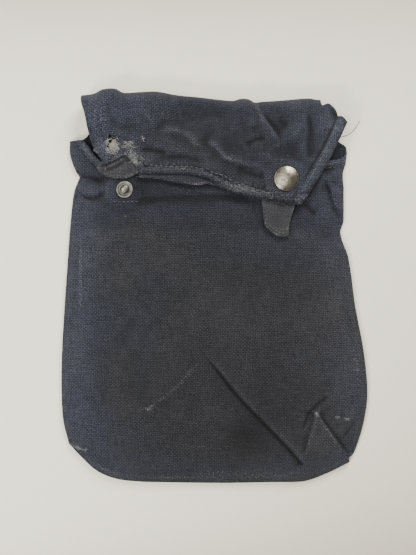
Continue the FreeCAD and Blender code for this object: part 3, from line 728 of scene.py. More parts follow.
def frontMarks(x, y):
    # where the front is rubbed pale, where it keeps its blue, and where it is dark
    gap = gapTo(x, y, sewnEdge)
    band = gapTo(x, y, mouthEdge)
    drift = softNoise(x, y, 22, 7)
    rub = 0.40 * bell(gap - 3.6, 1.8) * ease(-y, 95, 112) * (0.7 + 0.5 * softNoise(x, y, 16, 8))
    rub += 0.30 * bell(gap - 6.0, 2.4) * hump(x, y, (88, -52), (12, 34))
    rub += 0.28 * bell(gap, 1.6) + 0.26 * bell(band - 1.6, 1.8)
    rub += spots(x, y, frontSpots["rubbedAndLit"])
    for share, width, line in frontScuffs:
        rub += share * bell(gapTo(x, y, smoothRun(line, 3.0)), width)
    for line in dartEdges:
        run = besideLine(x, y, smoothRun(line, 2.0))[0]
        rub += 0.42 * bell(run + 1.0, 0.7) * hump(x, y, (67, -90), (15, 15))
    rub += 0.14 * np.clip(softNoise(x, y, 5, 18) + softNoise(x, y, 17, 19) - 0.35, 0, 1)
    blue = 0.95 * ease(-x, 52, 84) + 0.75 * ease(y, 30, 50) + 0.8 * hump(x, y, (76, 55), (22, 34))
    blue += 0.12 + 0.55 * ease(-y, 98, 114) + 0.35 * ease(x, 66, 88) + 0.35 * drift
    blue -= 0.5 * hump(x, y, (5, -75), (48, 32))
    patches = softNoise(x, y, 9, 9) + 0.7 * softNoise(x, y, 30, 10)
    dim = 0.10 * patches + 0.05 * drift + spots(x, y, frontSpots["dark"])
    dim += 0.26 * ease(y, 33, 37) * (1 - ease(np.abs(x + 6), 66, 84))
    # painted shade on the strip of front just below the flap's edge
    dim += 0.30 * ease(y, 48, 54) * (1 - ease(np.abs(x + 20), 34, 48))
    # painted shade round the lower part of the long crease, deepest on its lower-left side
    below = ease(-besideLine(x, y, smoothRun(longCrease, 3.0))[0], -0.4, 1.0)
    dim += (0.14 + 0.45 * below) * hump(x, y, (16, -93), (21, 15))
    # lighter to the left, partly wear and partly painted light on the slope down to the seam; lighter to the
    # right, where the cloth is faded
    dim -= 0.10 * ease(-x, 60, 88) + 0.14 * ease(-x, 40, 70) + 0.16 * ease(x, 50, 80)
    dim -= 0.34 * (1 - ease(band, 3.6, 4.6)) + 0.16 * ease(x, 62, 86) * ease(-y, -30, 30)
    # lighter band along the left edge: partly wear, partly painted light on the slope down to the seam
    dim -= 0.20 * bell(gap - 5, 5) * ease(-x, 70, 90)
    dim = darkenLines(x, y, np.clip(dim, -0.45, 0.66))
    return {"rub": np.clip(rub, 0, 1.1), "blue": np.clip(blue, 0, 1), "dim": dim}


# the sharpest creases, each with how much painted shade it lays along its line
sharpLines = [
    ([(-6, -41.5), (4, -53.5), (16, -68), (32, -84.5), (47.7, -101), (55, -110)], 0.42),
    ([(82.8, -106.4), (76.3, -96.2), (70, -87.5), (63.6, -78.4)], 0.75),
    ([(69, -67.2), (63, -71.9), (57.5, -78.5), (53.6, -89)], 0.5),
    ([(61.7, -79), (58.4, -89), (55, -102)], 0.5),
    ([(86, -84), (80.5, -91.6), (76, -94)], 0.34),
    ([(67, 66), (70.5, 60), (74, 49), (79, 39)], 0.34),
    ([(-87, 60), (-80, 55.5), (-73, 54.6), (-66.5, 59)], 0.34),
    ([(-88, 68.4), (-79, 68), (-71, 66)], 0.4),
    ([(-46, 53.5), (-18, 55), (6, 54.4), (26, 51)], 0.25),
    ([(54.5, 52), (58, 47.5), (62.8, 43.5)], 0.25),
]


def darkenLines(x, y, dim):
    for line, share in sharpLines:
        run = smoothRun(line, 1.5)
        near = nearLine(x, y, run, 4)
        gap, way = besideLine(x[near], y[near], run)
        # painted shade along the crease
        dim[near] += share * bell(gap, 0.65) * ease(way, 0, 0.15) * (1 - ease(way, 0.85, 1))
    return dim


frontFine = np.array([(-12, -36), (40, -36), (100, -60), (100, -130), (30, -130)])
frontPlan = clothPlan(frontLoop, 1.05, fineArea=frontFine, fineStep=0.75)
fx, fy = frontPlan[0][:, 0], frontPlan[0][:, 1]
frontPoints = np.column_stack([fx, fy, frontHeight(fx, fy)])
frontWearAndShade = foldWearAndShade(frontPlan, frontPoints[:, 2], frontMarks(fx, fy), ease(gapTo(fx, fy, sewnEdge), 3, 12))
frontCloth = sewCloth("frontCanvas", frontPlan, frontPoints, clothThick["canvas"], canvasCloth, frontWearAndShade)
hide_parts("front_panel")
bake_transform(frontCloth)

print("stage 5: back and flap, one length of canvas")

# the roll at the top; v is the length along the cloth, and its apex is where the back turns into the flap
roll = {"apexZ": 9.6, "foldY": 118.0, "backRadius": 9.6, "flapRadius": 7.6, "apexV": 123.5, "seamLift": 0.65}
backArc = roll["backRadius"] * math.pi / 2
flapArc = roll["flapRadius"] * math.pi / 2
flapTurn = roll["apexV"] + flapArc + roll["foldY"] - roll["flapRadius"]
foldTop = smoothRun([(-90, 117.4), (-81, 117.6), (-74, 118.6), (-68.5, 121.4), (-61, 121.8), (-56, 119.4),
                     (-46, 119.8), (-36, 120.0), (-24, 118.0), (-8, 116.5), (4, 115.1), (11.5, 114.4),
                     (16, 115.5), (21, 115.2), (24.5, 113.4), (30, 114.0), (44, 114.6), (58, 115.6),
                     (65, 114.9), (69.5, 118), (90, 118)], 1.0)

# the flap's plan, anticlockwise from the left end of the fold
flapLeft = [(-80.9, 112), (-79.2, 107), (-77.3, 97), (-75.4, 90), (-72.8, 83), (-68.8, 77.2), (-67.6, 74.2)]
flapLeftFoot = [(-67.6, 74.2), (-62, 76.8), (-54.8, 80.2), (-51.2, 77.8), (-46.8, 72.5)]
flapSlit = [(-46.8, 72.5), (-45.4, 69.6), (-36, 69.3), (-22, 69.1), (-13, 68.4), (-5, 66.2), (1.5, 62.8)]
flapFront = [(1.5, 62.8), (9.9, 59.2), (22.3, 55.4), (31, 53.2), (40, 51.3), (48, 50.2), (52.4, 50.4),
             (55.0, 52.6)]
flapRight = [(55.0, 52.6), (64.8, 68.8), (73.4, 84.6), (81.0, 100.4)]
flapEar = [(81.0, 100.4), (78.2, 103.9), (75.4, 104.2)]
flapShoulder = [(75.4, 104.2), (74.0, 107.2), (70.4, 110.6), (67.2, 112.2), (65.2, 113.6)]

flapShape = {"level": 16.5, "foldLevel": 17.6, "lowest": 15.0, "highest": 20.6, "sway": 0.60, "pucker": 0.22,
             "edgeDrop": 1.0, "capSwell": 0.9, "capSize": (17, 14), "capPad": 8.4}
flapEarDrop = [(4.2, (78, 106), (7.5, 5.5)), (1.2, (82, 99), (5, 5))]
flapSwells = [(0.7, (-30, 88), (26, 14)), (0.8, (8, 96), (18, 10)), (0.5, (46, 98), (9, 10)),
              (-1.7, (-3, 106), (17, 7)), (-0.7, (46, 84), (9, 7)), (0.9, (-58, 82), (12, 7))]
flapFolds = [
    foldLine([(-6, 90), (1.9, 84.3), (5.6, 79.4), (11.2, 76.9), (20, 74.6), (30, 72)], 2.1, 4.5, 1.7,
             fade=(0.2, 0.4), rounding=0.8),
    foldLine([(29.8, 81.2), (38.4, 86.8), (47.7, 91.8), (56, 101)], 0.9, 3.0, 3.0),
    foldLine([(18, 85.4), (24.8, 89.3), (32, 90)], -1.2, 1.6, 1.6, rounding=0.5),
    foldLine([(57.6, 114), (57.6, 104), (58.2, 93.6), (57.5, 76)], -2.3, 6.0, 2.0, fade=(0.0, 0.2)),
    foldLine([(64, 111), (64.6, 100), (66.5, 88)], 0.8, 3.5, 5.0, fade=(0.0, 0.4)),
    foldLine([(-47.7, 104.5), (-43.5, 110), (-38, 114)], 0.7, 2.4, 1.4),
    foldLine([(-44.5, 110), (-40, 103), (-34.5, 95.5)], 0.6, 2.0, 2.0),
    foldLine([(-34, 94.5), (-24, 94.6), (-17, 92), (-9.5, 85.4)], 1.7, 3.4, 1.9),
    foldLine([(-46, 83.4), (-38, 82.8), (-28, 81.0)], -1.4, 2.0, 1.6, rounding=0.5),
    foldLine([(-24, 113), (-14, 108), (0, 105), (14, 107)], -1.7, 3.5, 6),
    foldLine([(12, 112), (20, 104), (26, 96)], 1.0, 6, 6),
    foldLine([(36, 110), (40, 101), (45, 95)], -1.3, 5, 4),
    foldLine([(-38, 113), (-32, 106), (-31, 99)], 1.1, 4.5, 4.5),
    foldLine([(-66, 104), (-58, 98), (-48, 96)], -0.8, 4, 4),
    foldLine([(12, 72), (24, 68), (32, 66)], -1.2, 3.0, 3.0),
    foldLine([(-38, 78.5), (-20, 79), (-4, 76)], -0.9, 2.5, 2.5),
    foldLine([(-66, 117), (-64, 108), (-63, 98)], -0.9, 2.5, 3.5, fade=(0.0, 0.6)),
    foldLine([(-57, 117), (-55, 111), (-50, 106)], -1.1, 1.8, 2.8, fade=(0.0, 0.5)),
    foldLine([(22, 76), (31, 70), (35, 62)], 0.6, 2.5, 2.5),
    foldLine([(20, 63), (27, 60), (33, 60)], -0.7, 1.6, 1.6),
    foldLine([(30, 80), (36, 77), (44, 77.5)], 0.5, 2, 1.6),
    foldLine([(-60, 78), (-53, 81), (-47, 78)], 0.5, 2, 1.4),
    foldLine([(66, 112), (72, 107), (76, 101)], -1.2, 1.6, 2.2),
]
flapLaps = [lapLine([(40.5, 88.5), (37.8, 92.4), (30, 103), (24, 113.4), (23, 119)], 1.9, 1.5, 9, 7, 0.35,
                    (0.2, 0.0))]


freeRuns = (flapLeft, flapLeftFoot, flapSlit, flapFront, flapRight)
flapFree = np.concatenate([smoothRun(run, 2.5) for run in freeRuns])
hemmedEdges = [(smoothRun(flapLeft, 2.0), 7.4, 0.45), (smoothRun(flapSlit + flapFront[1:], 2.0), 4.4, 0.55),
               (smoothRun(flapRight, 2.0), 6.8, 0.8)]


def flapHeight(x, y):
    level = flapShape["level"]
    z = level + (flapShape["foldLevel"] - level) * ease(y, 84, 108)
    z += spots(x, y, flapSwells)
    z = addFolds(z, x, y, flapFolds, flapLaps)
    z -= flapShape["edgeDrop"] * np.exp(-(gapTo(x, y, flapFree) / 6) ** 1.5)
    for line, width, height in hemmedEdges:
        z += hemRoll(gapTo(x, y, line), width, height)
    z += flapShape["sway"] * softNoise(x, y, 15, 11) + flapShape["pucker"] * softNoise(x, y, 6, 12)
    z += (capSeat - level) * flapShape["capSwell"] * hump(x, y, rightStudAt, flapShape["capSize"])
    z = settleTo(z, x, y, rightStudAt, capSeat, flapShape["capPad"], 15.0)
    z = flapShape["lowest"] + np.log1p(np.exp(3 * (z - flapShape["lowest"]))) / 3
    return np.minimum(z, flapShape["highest"]) - spots(x, y, flapEarDrop)


def foldedPoints(x, v):
    # lays the unrolled length out: flat back, half turn at the fold, then the flap
    shift = np.interp(x, foldTop[:, 0], foldTop[:, 1]) - roll["foldY"]
    backAngle = np.clip((v - (roll["apexV"] - backArc)) / roll["backRadius"], 0, math.pi / 2)
    flapAngle = np.clip((v - roll["apexV"]) / roll["flapRadius"], 0, math.pi / 2)
    onBack = v <= roll["apexV"]
    flatBack = np.minimum(v - (roll["apexV"] - backArc), 0)
    yBack = roll["foldY"] - roll["backRadius"] + flatBack + roll["backRadius"] * np.sin(backAngle)
    yBack = yBack + shift * ease(v, 70, roll["apexV"] - backArc * 0.3)
    gap = gapTo(x, np.minimum(v, 88), sewnEdge)
    zBack = roll["backRadius"] * (1 - np.cos(backAngle)) + roll["seamLift"] * np.exp(-gap / 2.0) * (v < 88)
    zBack *= roll["apexZ"] / roll["backRadius"]
    flatFlap = np.maximum(v - (roll["apexV"] + flapArc), 0)
    yFlap = roll["foldY"] - roll["flapRadius"] - flatFlap + roll["flapRadius"] * np.cos(flapAngle)
    yFlap = yFlap + shift * (1 - ease(flatFlap, 0, 34))
    settled = flapHeight(x, yFlap)
    lift = np.sin(flapAngle)
    zFlap = roll["apexZ"] + (settled - roll["apexZ"]) * lift
    wave = 0.5 * softNoise(x, v, 16, 15) * np.exp(-((v - roll["apexV"]) / 16) ** 2)
    y = np.where(onBack, yBack, yFlap) + wave
    return np.column_stack([x, y, np.where(onBack, zBack, zFlap)])


def unrolled(run):
    # a run of points on the flap's plan, in the cloth's own unrolled length
    return [(x, flapTurn - y) for x, y in run]


apex = roll["apexV"]
rightOfBack = [(82.2, 83.8), (81.4, 87.0), (77.4, 89.8), (70, 99), (66, 110), (65.0, apex - 6), (64.8, apex)]
rightOfRoll = [(64.8, apex), (64.6, apex + 6), (65.2, flapTurn - 113.6)]
leftOfRoll = [(-80.9, flapTurn - 112), (-81.4, apex + 5), (-81.2, apex), (-80.2, apex - 8), (-79, 110)]
leftOfBack = [(-79, 110), (-77.2, 97), (-80.2, 92.4), (-84, 90.8), (-89.8, 90.2)]

flapRuns = (flapShoulder, flapEar, flapRight, flapFront, flapSlit, flapLeftFoot, flapLeft)
backward = [unrolled(run[::-1]) for run in flapRuns]
backFlapLoop = closedLoop(leftSide, leftCorner, bottomSide, corner, rightSide, rightOfBack, rightOfRoll,
                          *backward, leftOfRoll, leftOfBack, step=1.0)

tear = {"at": (-62.2, 86.0), "size": (4.0, 4.9), "ragged": 0.22}


def raggedHole():
    turns = np.linspace(0, 2 * math.pi, 44, endpoint=False)
    rough = np.random.default_rng(5).uniform(1 - tear["ragged"], 1 + tear["ragged"], 44)
    x = tear["at"][0] + tear["size"][0] * rough * np.cos(turns)
    y = tear["at"][1] + tear["size"][1] * rough * np.sin(turns)
    return np.column_stack([x, flapTurn - y])[::-1]


holeLoop = raggedHole()
flapArea = np.array([(-100, apex - 14), (100, apex - 14), (100, 260), (-100, 260)])
backFlapPlan = clothPlan(backFlapLoop, 2.6, holes=[holeLoop], fineArea=flapArea, fineStep=0.85)
backFlapPlan = (backFlapPlan[0], backFlapPlan[1][:, ::-1])  # its outer face is the underside of the back
bx, bv = backFlapPlan[0][:, 0], backFlapPlan[0][:, 1]
backFlapPoints = foldedPoints(bx, bv)

flapEdge = np.concatenate([smoothRun(unrolled(run), 2.0) for run in (*freeRuns, flapEar, flapShoulder)])

# soft marks on the flap, each a share, a middle and a size
flapSpots = {
    "rubbedAndLit": [(0.32, (16, 60), (20, 4)), (0.32, (-61, 84.5), (6, 6)), (0.60, (-52.5, 85.6), (4.0, 2.2)),
               (0.50, (-50, 79.5), (5, 4.5)), (0.25, (-45, 78), (7, 4)), (0.16, (-53, 93), (11, 6)),
               (0.4, (-44, 90), (1.2, 2.4)), (0.42, (-11.5, 87), (4, 1.8)), (0.30, (8, 78.5), (4, 2.4)),
               (0.35, (38.4, 86.6), (4.5, 1.4)), (0.3, (30, 81), (8, 1.6)), (0.30, (47, 79.6), (7, 1.1)),
               (0.32, (61, 111), (3.2, 1.6)), (0.22, (27, 110), (2.2, 6)), (0.2, (-41, 111), (3, 4))],
    # in this list the positive shares are painted shade in the flap's hollows beside its folds
    "dark": [(0.10, (-3, 105), (20, 8)), (0.16, (44, 76), (12, 14)), (0.20, (-6, 100), (34, 15)),
             (0.12, (-40, 84), (10, 7)), (0.16, (14, 88), (16, 8)), (0.12, (-18, 78), (20, 5)),
             (0.14, (42, 104), (10, 9)), (-0.10, (-45, 95), (20, 20)), (-0.34, (-76, 104), (14, 22)),
             (-0.18, (-48, 110), (22, 8))],
}


def flapMarks(x, v):
    # where the flap is rubbed pale, where it keeps its blue, and where it is dark
    y = flapTurn - v
    onFlap = ease(v, apex - 4, apex + 8)
    gap = gapTo(x, v, flapEdge)
    leftHem, frontHem, rightHem = (gapTo(x, v, smoothRun(unrolled(run), 2.0)) for run in
                                   (flapLeft, flapSlit + flapFront[1:], flapRight))
    drift = softNoise(x, v, 14, 21)
    rub = 0.26 * bell(gap, 1.3) + spots(x, y, flapSpots["rubbedAndLit"])
    rub += 0.26 * bell(leftHem - 8.2, 3.2) * (0.8 + 0.5 * drift)
    rub += 0.30 * bell(frontHem - 4.2, 2.6) * (0.75 + 0.6 * drift)
    rub += 0.20 * bell(rightHem - 4.5, 2.8) * (0.7 + 0.5 * drift)
    rub += 0.16 * np.clip(softNoise(x, y, 4, 28) + softNoise(x, y, 12, 29) - 0.3, 0, 1)
    rub = rub * onFlap + 0.15 * bell(v - apex, 5)
    blue = 0.45 * ease(-x, 30, 60) + 0.9 * ease(x, 40, 60) + 0.5 + 0.3 * ease(y, 96, 112) + 0.25 * drift
    blue = np.where(v < apex - 2, 0.6 + 0.3 * drift, blue)
    dim = 0.12 * drift - 0.34 * ease(-x, 62, 76) - 0.20 * ease(x, 60, 72) + spots(x, y, flapSpots["dark"])
    dim -= 0.22 * bell(leftHem - 4, 5) + 0.2 * (1 - ease(rightHem, 5.4, 6.6)) * (y > 54)
    dim += 0.3 * bell(rightHem - 7.7, 0.9) + 0.22 * bell(frontHem - 5.6, 0.8)
    return {"rub": np.clip(rub, 0, 1.15), "blue": np.clip(blue, 0, 1),
            "dim": np.clip(dim * onFlap, -0.5, 0.6)}


flapWearAndShade = foldWearAndShade(backFlapPlan, backFlapPoints[:, 2], flapMarks(bx, bv), ease(bv, apex + 12, apex + 20),
                    1.6)
backFlap = sewCloth("backAndFlapCanvas", backFlapPlan, backFlapPoints, clothThick["canvas"], canvasCloth,
                    flapWearAndShade, layer=40.0)
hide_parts("back_panel", "flap_panel")
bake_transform(backFlap)

print("stage 6: linings, hems and tape")


def insetLoop(loop, gap):
    # the same outline a gap further in, without the points that cross over at corners
    after, before = np.roll(loop, -1, axis=0), np.roll(loop, 1, axis=0)
    along = after - before
    along /= np.maximum(np.hypot(along[:, 0], along[:, 1]), 1e-9)[:, None]
    area = 0.5 * np.sum(loop[:, 0] * after[:, 1] - after[:, 0] * loop[:, 1])
    moved = loop + np.stack([-along[:, 1], along[:, 0]], 1) * (gap if area > 0 else -gap)
    clear = np.abs(besideLine(moved[:, 0], moved[:, 1], loop, True)[0]) > gap * 0.93
    kept = moved[clear & insideLoop(moved[:, 0], moved[:, 1], loop)]
    spaced = [kept[0]]
    for p in kept[1:]:
        if np.hypot(*(p - spaced[-1])) > 0.35:
            spaced.append(p)
    return np.array(spaced)


def bandLoop(run, near, far):
    # a band along the left of a run, between two distances from it
    line = smoothRun(run, 1.5)
    along = np.gradient(line, axis=0)
    along /= np.hypot(along[:, 0], along[:, 1])[:, None]
    side = np.stack([-along[:, 1], along[:, 0]], 1)
    return np.concatenate([line + side * near, (line + side * far)[::-1]])


def flatLayer(name, loop, step, heights, thick, material, holes=(), marks=None, flip=False, rings=(0.6,)):
    plan = clothPlan(loop, step, holes, rings=rings)
    if flip:
        plan = (plan[0], plan[1][:, ::-1])
    x, y = plan[0][:, 0], plan[0][:, 1]
    return sewCloth(name, plan, heights(x, y), thick, material, marks(x, y) if marks else None)


def atHeight(heightOf):
    # lays a plan out at the height that a function gives
    return lambda x, y: np.column_stack([x, y, heightOf(x, y)])


def tapeHeight(x, y):
    return np.full(len(x), backLevel["tape"])


def frontUnder(drop):
    # a drop below the front canvas, and clear of the back's lining
    return atHeight(lambda x, y: np.maximum(frontHeight(x, y) - drop, backLevel["clear"]))


def flapUnder(drop):
    def place(x, v):
        points = foldedPoints(x, v)
        flapAngle = np.clip((v - roll["apexV"]) / roll["flapRadius"], 0, math.pi / 2)
        points[:, 2] -= drop * np.sin(flapAngle)
        points[:, 1] -= drop * np.cos(flapAngle)
        return points
    return place


def fromEdge(run, near, far):
    # a hem band on the flap, in its unrolled length
    return bandLoop(unrolled(run[::-1]), near, far)


frontLining = flatLayer("frontLining", insetLoop(frontLoop, liningInset), 2.4,
                        frontUnder(layerDrop["frontLining"]), clothThick["lining"], liningCloth)
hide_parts("front_lining")
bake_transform(frontLining)

backLoop = closedLoop(leftSide, leftCorner, bottomSide, corner, rightSide, rightOfBack[:4],
                      [(70, 99), (0, 104), (-78.3, 103)], [(-78.3, 103), (-78.2, 99)], leftOfBack[1:],
                      step=1.5)
backLining = flatLayer("backLining", insetLoop(backLoop, liningInset), 3.0,
                       lambda x, v: foldedPoints(x, v) + (0, 0, backLevel["lining"]),
                       clothThick["lining"], liningCloth)
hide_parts("back_lining")
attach(backLining, "pouch")

tapeRun = np.concatenate([smoothRun(run, 1.5)[:-1] for run in (leftSide[3:], leftCorner, bottomSide)] +
                         [smoothRun(rightSide[:-3], 1.5)])
seamTape = flatLayer("seamTape", bandLoop(tapeRun, 2.6, 6.2), 1.6, atHeight(tapeHeight), clothThick["tape"],
                     tapeCloth)
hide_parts("seam_tape")
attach(seamTape, "pouch")

mouthHem = flatLayer("mouthHem", bandLoop(frontRim[2:-1], 0.5, 8.0), 1.6, frontUnder(layerDrop["mouthHem"]),
                     clothThick["hem"], canvasCloth)
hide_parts("mouth_hem")
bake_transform(mouthHem)

rollRight, rollLeft = (63.4, apex + 4), (-80.0, apex + 4)
flapBodyLoop = closedLoop([rollRight, (63.4, flapTurn - 111)], *backward,
                          [(-80.0, flapTurn - 111.5), rollLeft], [rollLeft, rollRight], step=1.4)
flapLining = flatLayer("flapLining", insetLoop(flapBodyLoop, 1.8), 2.2, flapUnder(layerDrop["flapLining"]),
                       clothThick["flapLining"], liningCloth, holes=[holeLoop[::2]], flip=True)
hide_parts("flap_lining")
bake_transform(flapLining)

hemStrips = {
    "flapHemLeft": {"node": "flap_hem_left", "loop": fromEdge(flapLeft, 0.6, 8.2)},
    "flapHemRight": {"node": "flap_hem_right", "loop": fromEdge(flapRight, 0.6, 8.0)},
}
for name, strip in hemStrips.items():
    piece = flatLayer(name, strip["loop"], 1.5, flapUnder(layerDrop["flapHem"]), clothThick["hem"],
                      canvasCloth, flip=True)
    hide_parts(strip["node"])
    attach(piece, "flap")

# the front hem has come away from the outer layer, so it shows as a strip of its own
hemLower = [(-46.0, 66.6), (-38, 66.0), (-30.4, 64.9), (-19.2, 63.0), (-9.3, 62.1), (-5, 62.6), (2.5, 61.6),
            (10, 58.6), (22.3, 54.9), (31, 52.9), (40, 51.0), (46, 50.4)]
hemUpper = [(46, 57.6), (24, 62.8), (8, 68), (-8, 72.6), (-24, 75), (-45.0, 76.6)]
frontHemLoop = closedLoop(unrolled(hemLower), unrolled([hemLower[-1], hemUpper[0]]), unrolled(hemUpper),
                          unrolled([hemUpper[-1], hemLower[0]]), step=1.0)


def frontHemPlace(x, v):
    points = foldedPoints(x, v)
    y = points[:, 1]
    bare = 1 - ease(besideLine(x, y, smoothRun(flapSlit, 2.0))[0], -3.0, 2.6)
    loose = bare * (1 - ease(x, -2, 9))
    points[:, 2] -= layerDrop["flapHem"]
    lipGap = gapTo(x, y, smoothRun(hemLower, 2.0))
    points[:, 2] += loose * (0.35 + 0.75 * bell(lipGap - 1.0, 1.1))
    return points


def frontHemMarks(x, v):
    y = flapTurn - v
    lip = gapTo(x, y, smoothRun(hemLower, 2.0))
    rub = 0.42 * bell(lip - 0.5, 0.9) * (0.8 + 0.5 * softNoise(x, v, 4, 41))
    rub += 0.25 * hump(x, y, (-8, 63), (8, 1.6))
    return {"rub": np.clip(rub, 0, 1.1), "blue": np.full(len(x), 0.4), "dim": 0.12 * ease(lip, 1.2, 3.5)}


frontHem = flatLayer("flapHemFront", frontHemLoop, 0.9, frontHemPlace, clothThick["hem"], canvasCloth,
                     marks=frontHemMarks, flip=True, rings=(0.5, 1.2))
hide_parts("flap_hem_front")
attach(frontHem, "flap")

print("stage 7: pull tabs")

rightTab = {"thick": 1.9, "outline": [
    [(28.6, 56.5), (29.6, 50), (29.9, 45.6), (30.5, 40.5), (31.9, 36.6), (35.5, 33.4), (39.4, 31.2),
     (42.5, 31.0), (45.3, 31.4)],
    [(45.3, 31.4), (45.0, 37.2), (47.0, 44.3), (48.8, 49.6), (49.6, 54.5)],
    [(49.6, 54.5), (28.6, 56.5)],
]}
leftTab = {"thick": 1.5, "outline": [
    [(-64.6, 79.6), (-68.8, 76.6), (-71.2, 73.6), (-70.8, 70.8), (-68.0, 69.3), (-65.2, 67.4)],
    [(-65.2, 67.4), (-60, 66.6), (-54, 66.8), (-46.6, 69.6)],
    [(-46.6, 69.6), (-46.4, 74), (-49.6, 80.6), (-53.4, 83.6)],
    [(-53.4, 83.6), (-64.6, 79.6)],
]}
tabFold = [(-69.4, 71.8), (-65, 72.6), (-60, 74.6), (-54, 78.4)]


def rightTabHeight(x, y):
    rest = frontHeight(x, y) + rightTab["thick"] + 0.25
    out = (54.5 - y) / 24
    z = np.maximum(rest, 15.0 - 0.6 * out)
    line = smoothRun([(31.6, 50), (32.2, 42), (34.3, 37.6), (38, 34.4), (44, 33.6)], 1.5)
    rimGap = gapTo(x, y, line)
    z = z + 0.45 * bell(rimGap - 0.2, 1.3) - 0.55 * hump(x, y, (38, 39.5), (3.6, 4.0))
    z += 0.25 * softNoise(x, y, 5, 51) - 0.5 * bell(x - 41.5 + (y - 45) * 0.2, 2.0) * ease(y, 38, 46)
    tucked = flapHeight(x, y) - 1.55
    return np.where(y > 50.2, np.minimum(z, tucked), z)


def leftTabHeight(x, y):
    z = np.maximum(frontHeight(x, y), 12.0) + leftTab["thick"] + 0.3
    z += 0.3 * softNoise(x, y, 4, 52)
    fold = besideLine(x, y, smoothRun(tabFold, 1.5))[0]
    z += 0.8 * bell(fold, 1.1) - 0.6 * bell(fold + 1.9, 0.9)
    return z


def tabMarks(outline, seed):
    line = closedLoop(*outline, step=1.5)

    def marks(x, y):
        gap = np.abs(besideLine(x, y, line, True)[0])
        rub = 0.40 * bell(gap, 1.2) + 0.25 * softNoise(x, y, 3, seed)
        rub += 1.0 * hump(x, y, (-66.6, 71.6), (1.1, 1.0))
        fold, way = besideLine(x, y, smoothRun(tabFold, 1.0))
        ends = ease(way, 0, 0.15) * (1 - ease(way, 0.85, 1))
        # painted highlight on one side of the tab's fold
        rub += 0.45 * bell(fold - 1.0, 0.6) * ends
        dim = 0.2 * hump(x, y, (38, 39), (4, 4)) - 0.16 * ease(-x, 40, 46)
        # painted shade on the other side of the tab's fold
        dim += 0.7 * bell(fold + 0.7, 0.75) * ends
        return {"rub": np.clip(rub, 0, 1), "blue": np.full(len(x), 0.2), "dim": dim}
    return marks


def tabCanvas(name, tab, heightOf, seed):
    loop = closedLoop(*tab["outline"], step=0.8)
    marks = tabMarks(tab["outline"], seed)
    return flatLayer(name, loop, 0.8, atHeight(heightOf), tab["thick"], tabCloth, marks=marks,
                     rings=(0.5, 1.1))


rightTabPiece = tabCanvas("rightPullTab", rightTab, rightTabHeight, 53)
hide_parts("right_pull_tab")
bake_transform(rightTabPiece)
leftTabPiece = tabCanvas("leftPullTab", leftTab, leftTabHeight, 54)
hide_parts("left_pull_tab")
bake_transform(leftTabPiece)

print("stage 8: stitches and loose threads")


class ThreadWork:
    # gathers many short threads into one mesh

    def __init__(self, name, material, sides=6):
        self.name, self.material, self.sides = name, material, sides
        self.points, self.faces = [], []

    def strand(self, path, radius):
        path = np.asarray(path, float)
        along = np.gradient(path, axis=0)
        along /= np.maximum(np.linalg.norm(along, axis=1), 1e-9)[:, None]
        across = np.cross(along, (0.13, 0.07, 1.0))
        across /= np.maximum(np.linalg.norm(across, axis=1), 1e-9)[:, None]
        upward = np.cross(across, along)
        first, count, turns = len(self.points), len(path), np.arange(self.sides) * 2 * math.pi / self.sides
        radii = np.broadcast_to(radius, count)
        for i in range(count):
            for turn in turns:
                around = across[i] * math.cos(turn) + upward[i] * math.sin(turn)
                self.points.append(path[i] + radii[i] * around)
        for i in range(count - 1):
            for k in range(self.sides):
                m = (k + 1) % self.sides
                a, b = first + i * self.sides, first + (i + 1) * self.sides
                self.faces.append((a + k, b + k, b + m, a + m))
        self.faces.append(tuple(first + k for k in range(self.sides)))
        last = first + (count - 1) * self.sides
        self.faces.append(tuple(last + k for k in reversed(range(self.sides))))

    def dash(self, a, b, surface, radius, lift=0.12):
        # one stitch, sunk into the cloth at both ends
        t = np.linspace(0, 1, 6)
        x, y = a[0] + (b[0] - a[0]) * t, a[1] + (b[1] - a[1]) * t
        z = surface(x, y) + lift + 0.5 * radius - 1.3 * radius * (2 * np.abs(t - 0.5)) ** 3
        self.strand(np.column_stack([x, y, z]), radius * np.array([0.45, 0.95, 1, 1, 0.95, 0.45]))

    def row(self, line, surface, length=2.0, gap=0.9, radius=0.26, skip=0.0, seed=1):
        luck = np.random.default_rng(seed)
        run = smoothRun(line, 0.5)
        travelled = np.concatenate([[0], np.cumsum(np.hypot(*np.diff(run, axis=0).T))])
        at = 0.3
        while at + length < travelled[-1]:
            ends = [[np.interp(d, travelled, run[:, i]) for i in range(2)] for d in (at, at + length)]
            at += length + gap
            if luck.random() >= skip:
                self.dash(ends[0], ends[1], surface, radius * luck.uniform(0.85, 1.15))

    def bartack(self, middle, angle, width, depth, count, surface, radius=0.24):
        ahead = np.array([math.cos(angle), math.sin(angle)])
        aside = np.array([-ahead[1], ahead[0]])
        for i in range(count):
            centre = np.array(middle) + ahead * width * (i / (count - 1) - 0.5)
            self.dash(centre - aside * depth / 2, centre + aside * depth / 2, surface, radius, 0.2)

    def build(self):
        return makePiece(self.name, self.points, self.faces, self.material)


mouthRows = ThreadWork("mouthStitching", sewingThread)
mouthRow = [(80.6, 76.6), (76.2, 74.0), (68, 73.2), (46, 69.2), (20, 67.4), (0, 67), (-35, 67), (-60, 68.4),
            (-68.2, 70.8), (-73.4, 74.2), (-78.0, 79.2), (-81.6, 85.2), (-86, 86.0)]
mouthRows.row(mouthRow, frontHeight, skip=0.06, seed=2)
mouthStitching = mouthRows.build()
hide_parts("mouth_stitching")
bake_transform(mouthStitching)

patchRows = ThreadWork("patchStitching", sewingThread)
for at in (leftStudAt, rightStudAt):
    x, y = at
    patchRow = [(x - 9.6, y - 7.2), (x, y - 7.5), (x + 9.6, y - 7.3)]
    patchRows.row(patchRow, frontHeight, length=1.7, gap=0.9, radius=0.24, skip=0.1, seed=3)
patchStitching = patchRows.build()
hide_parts("patch_stitching")
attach(patchStitching, "front")

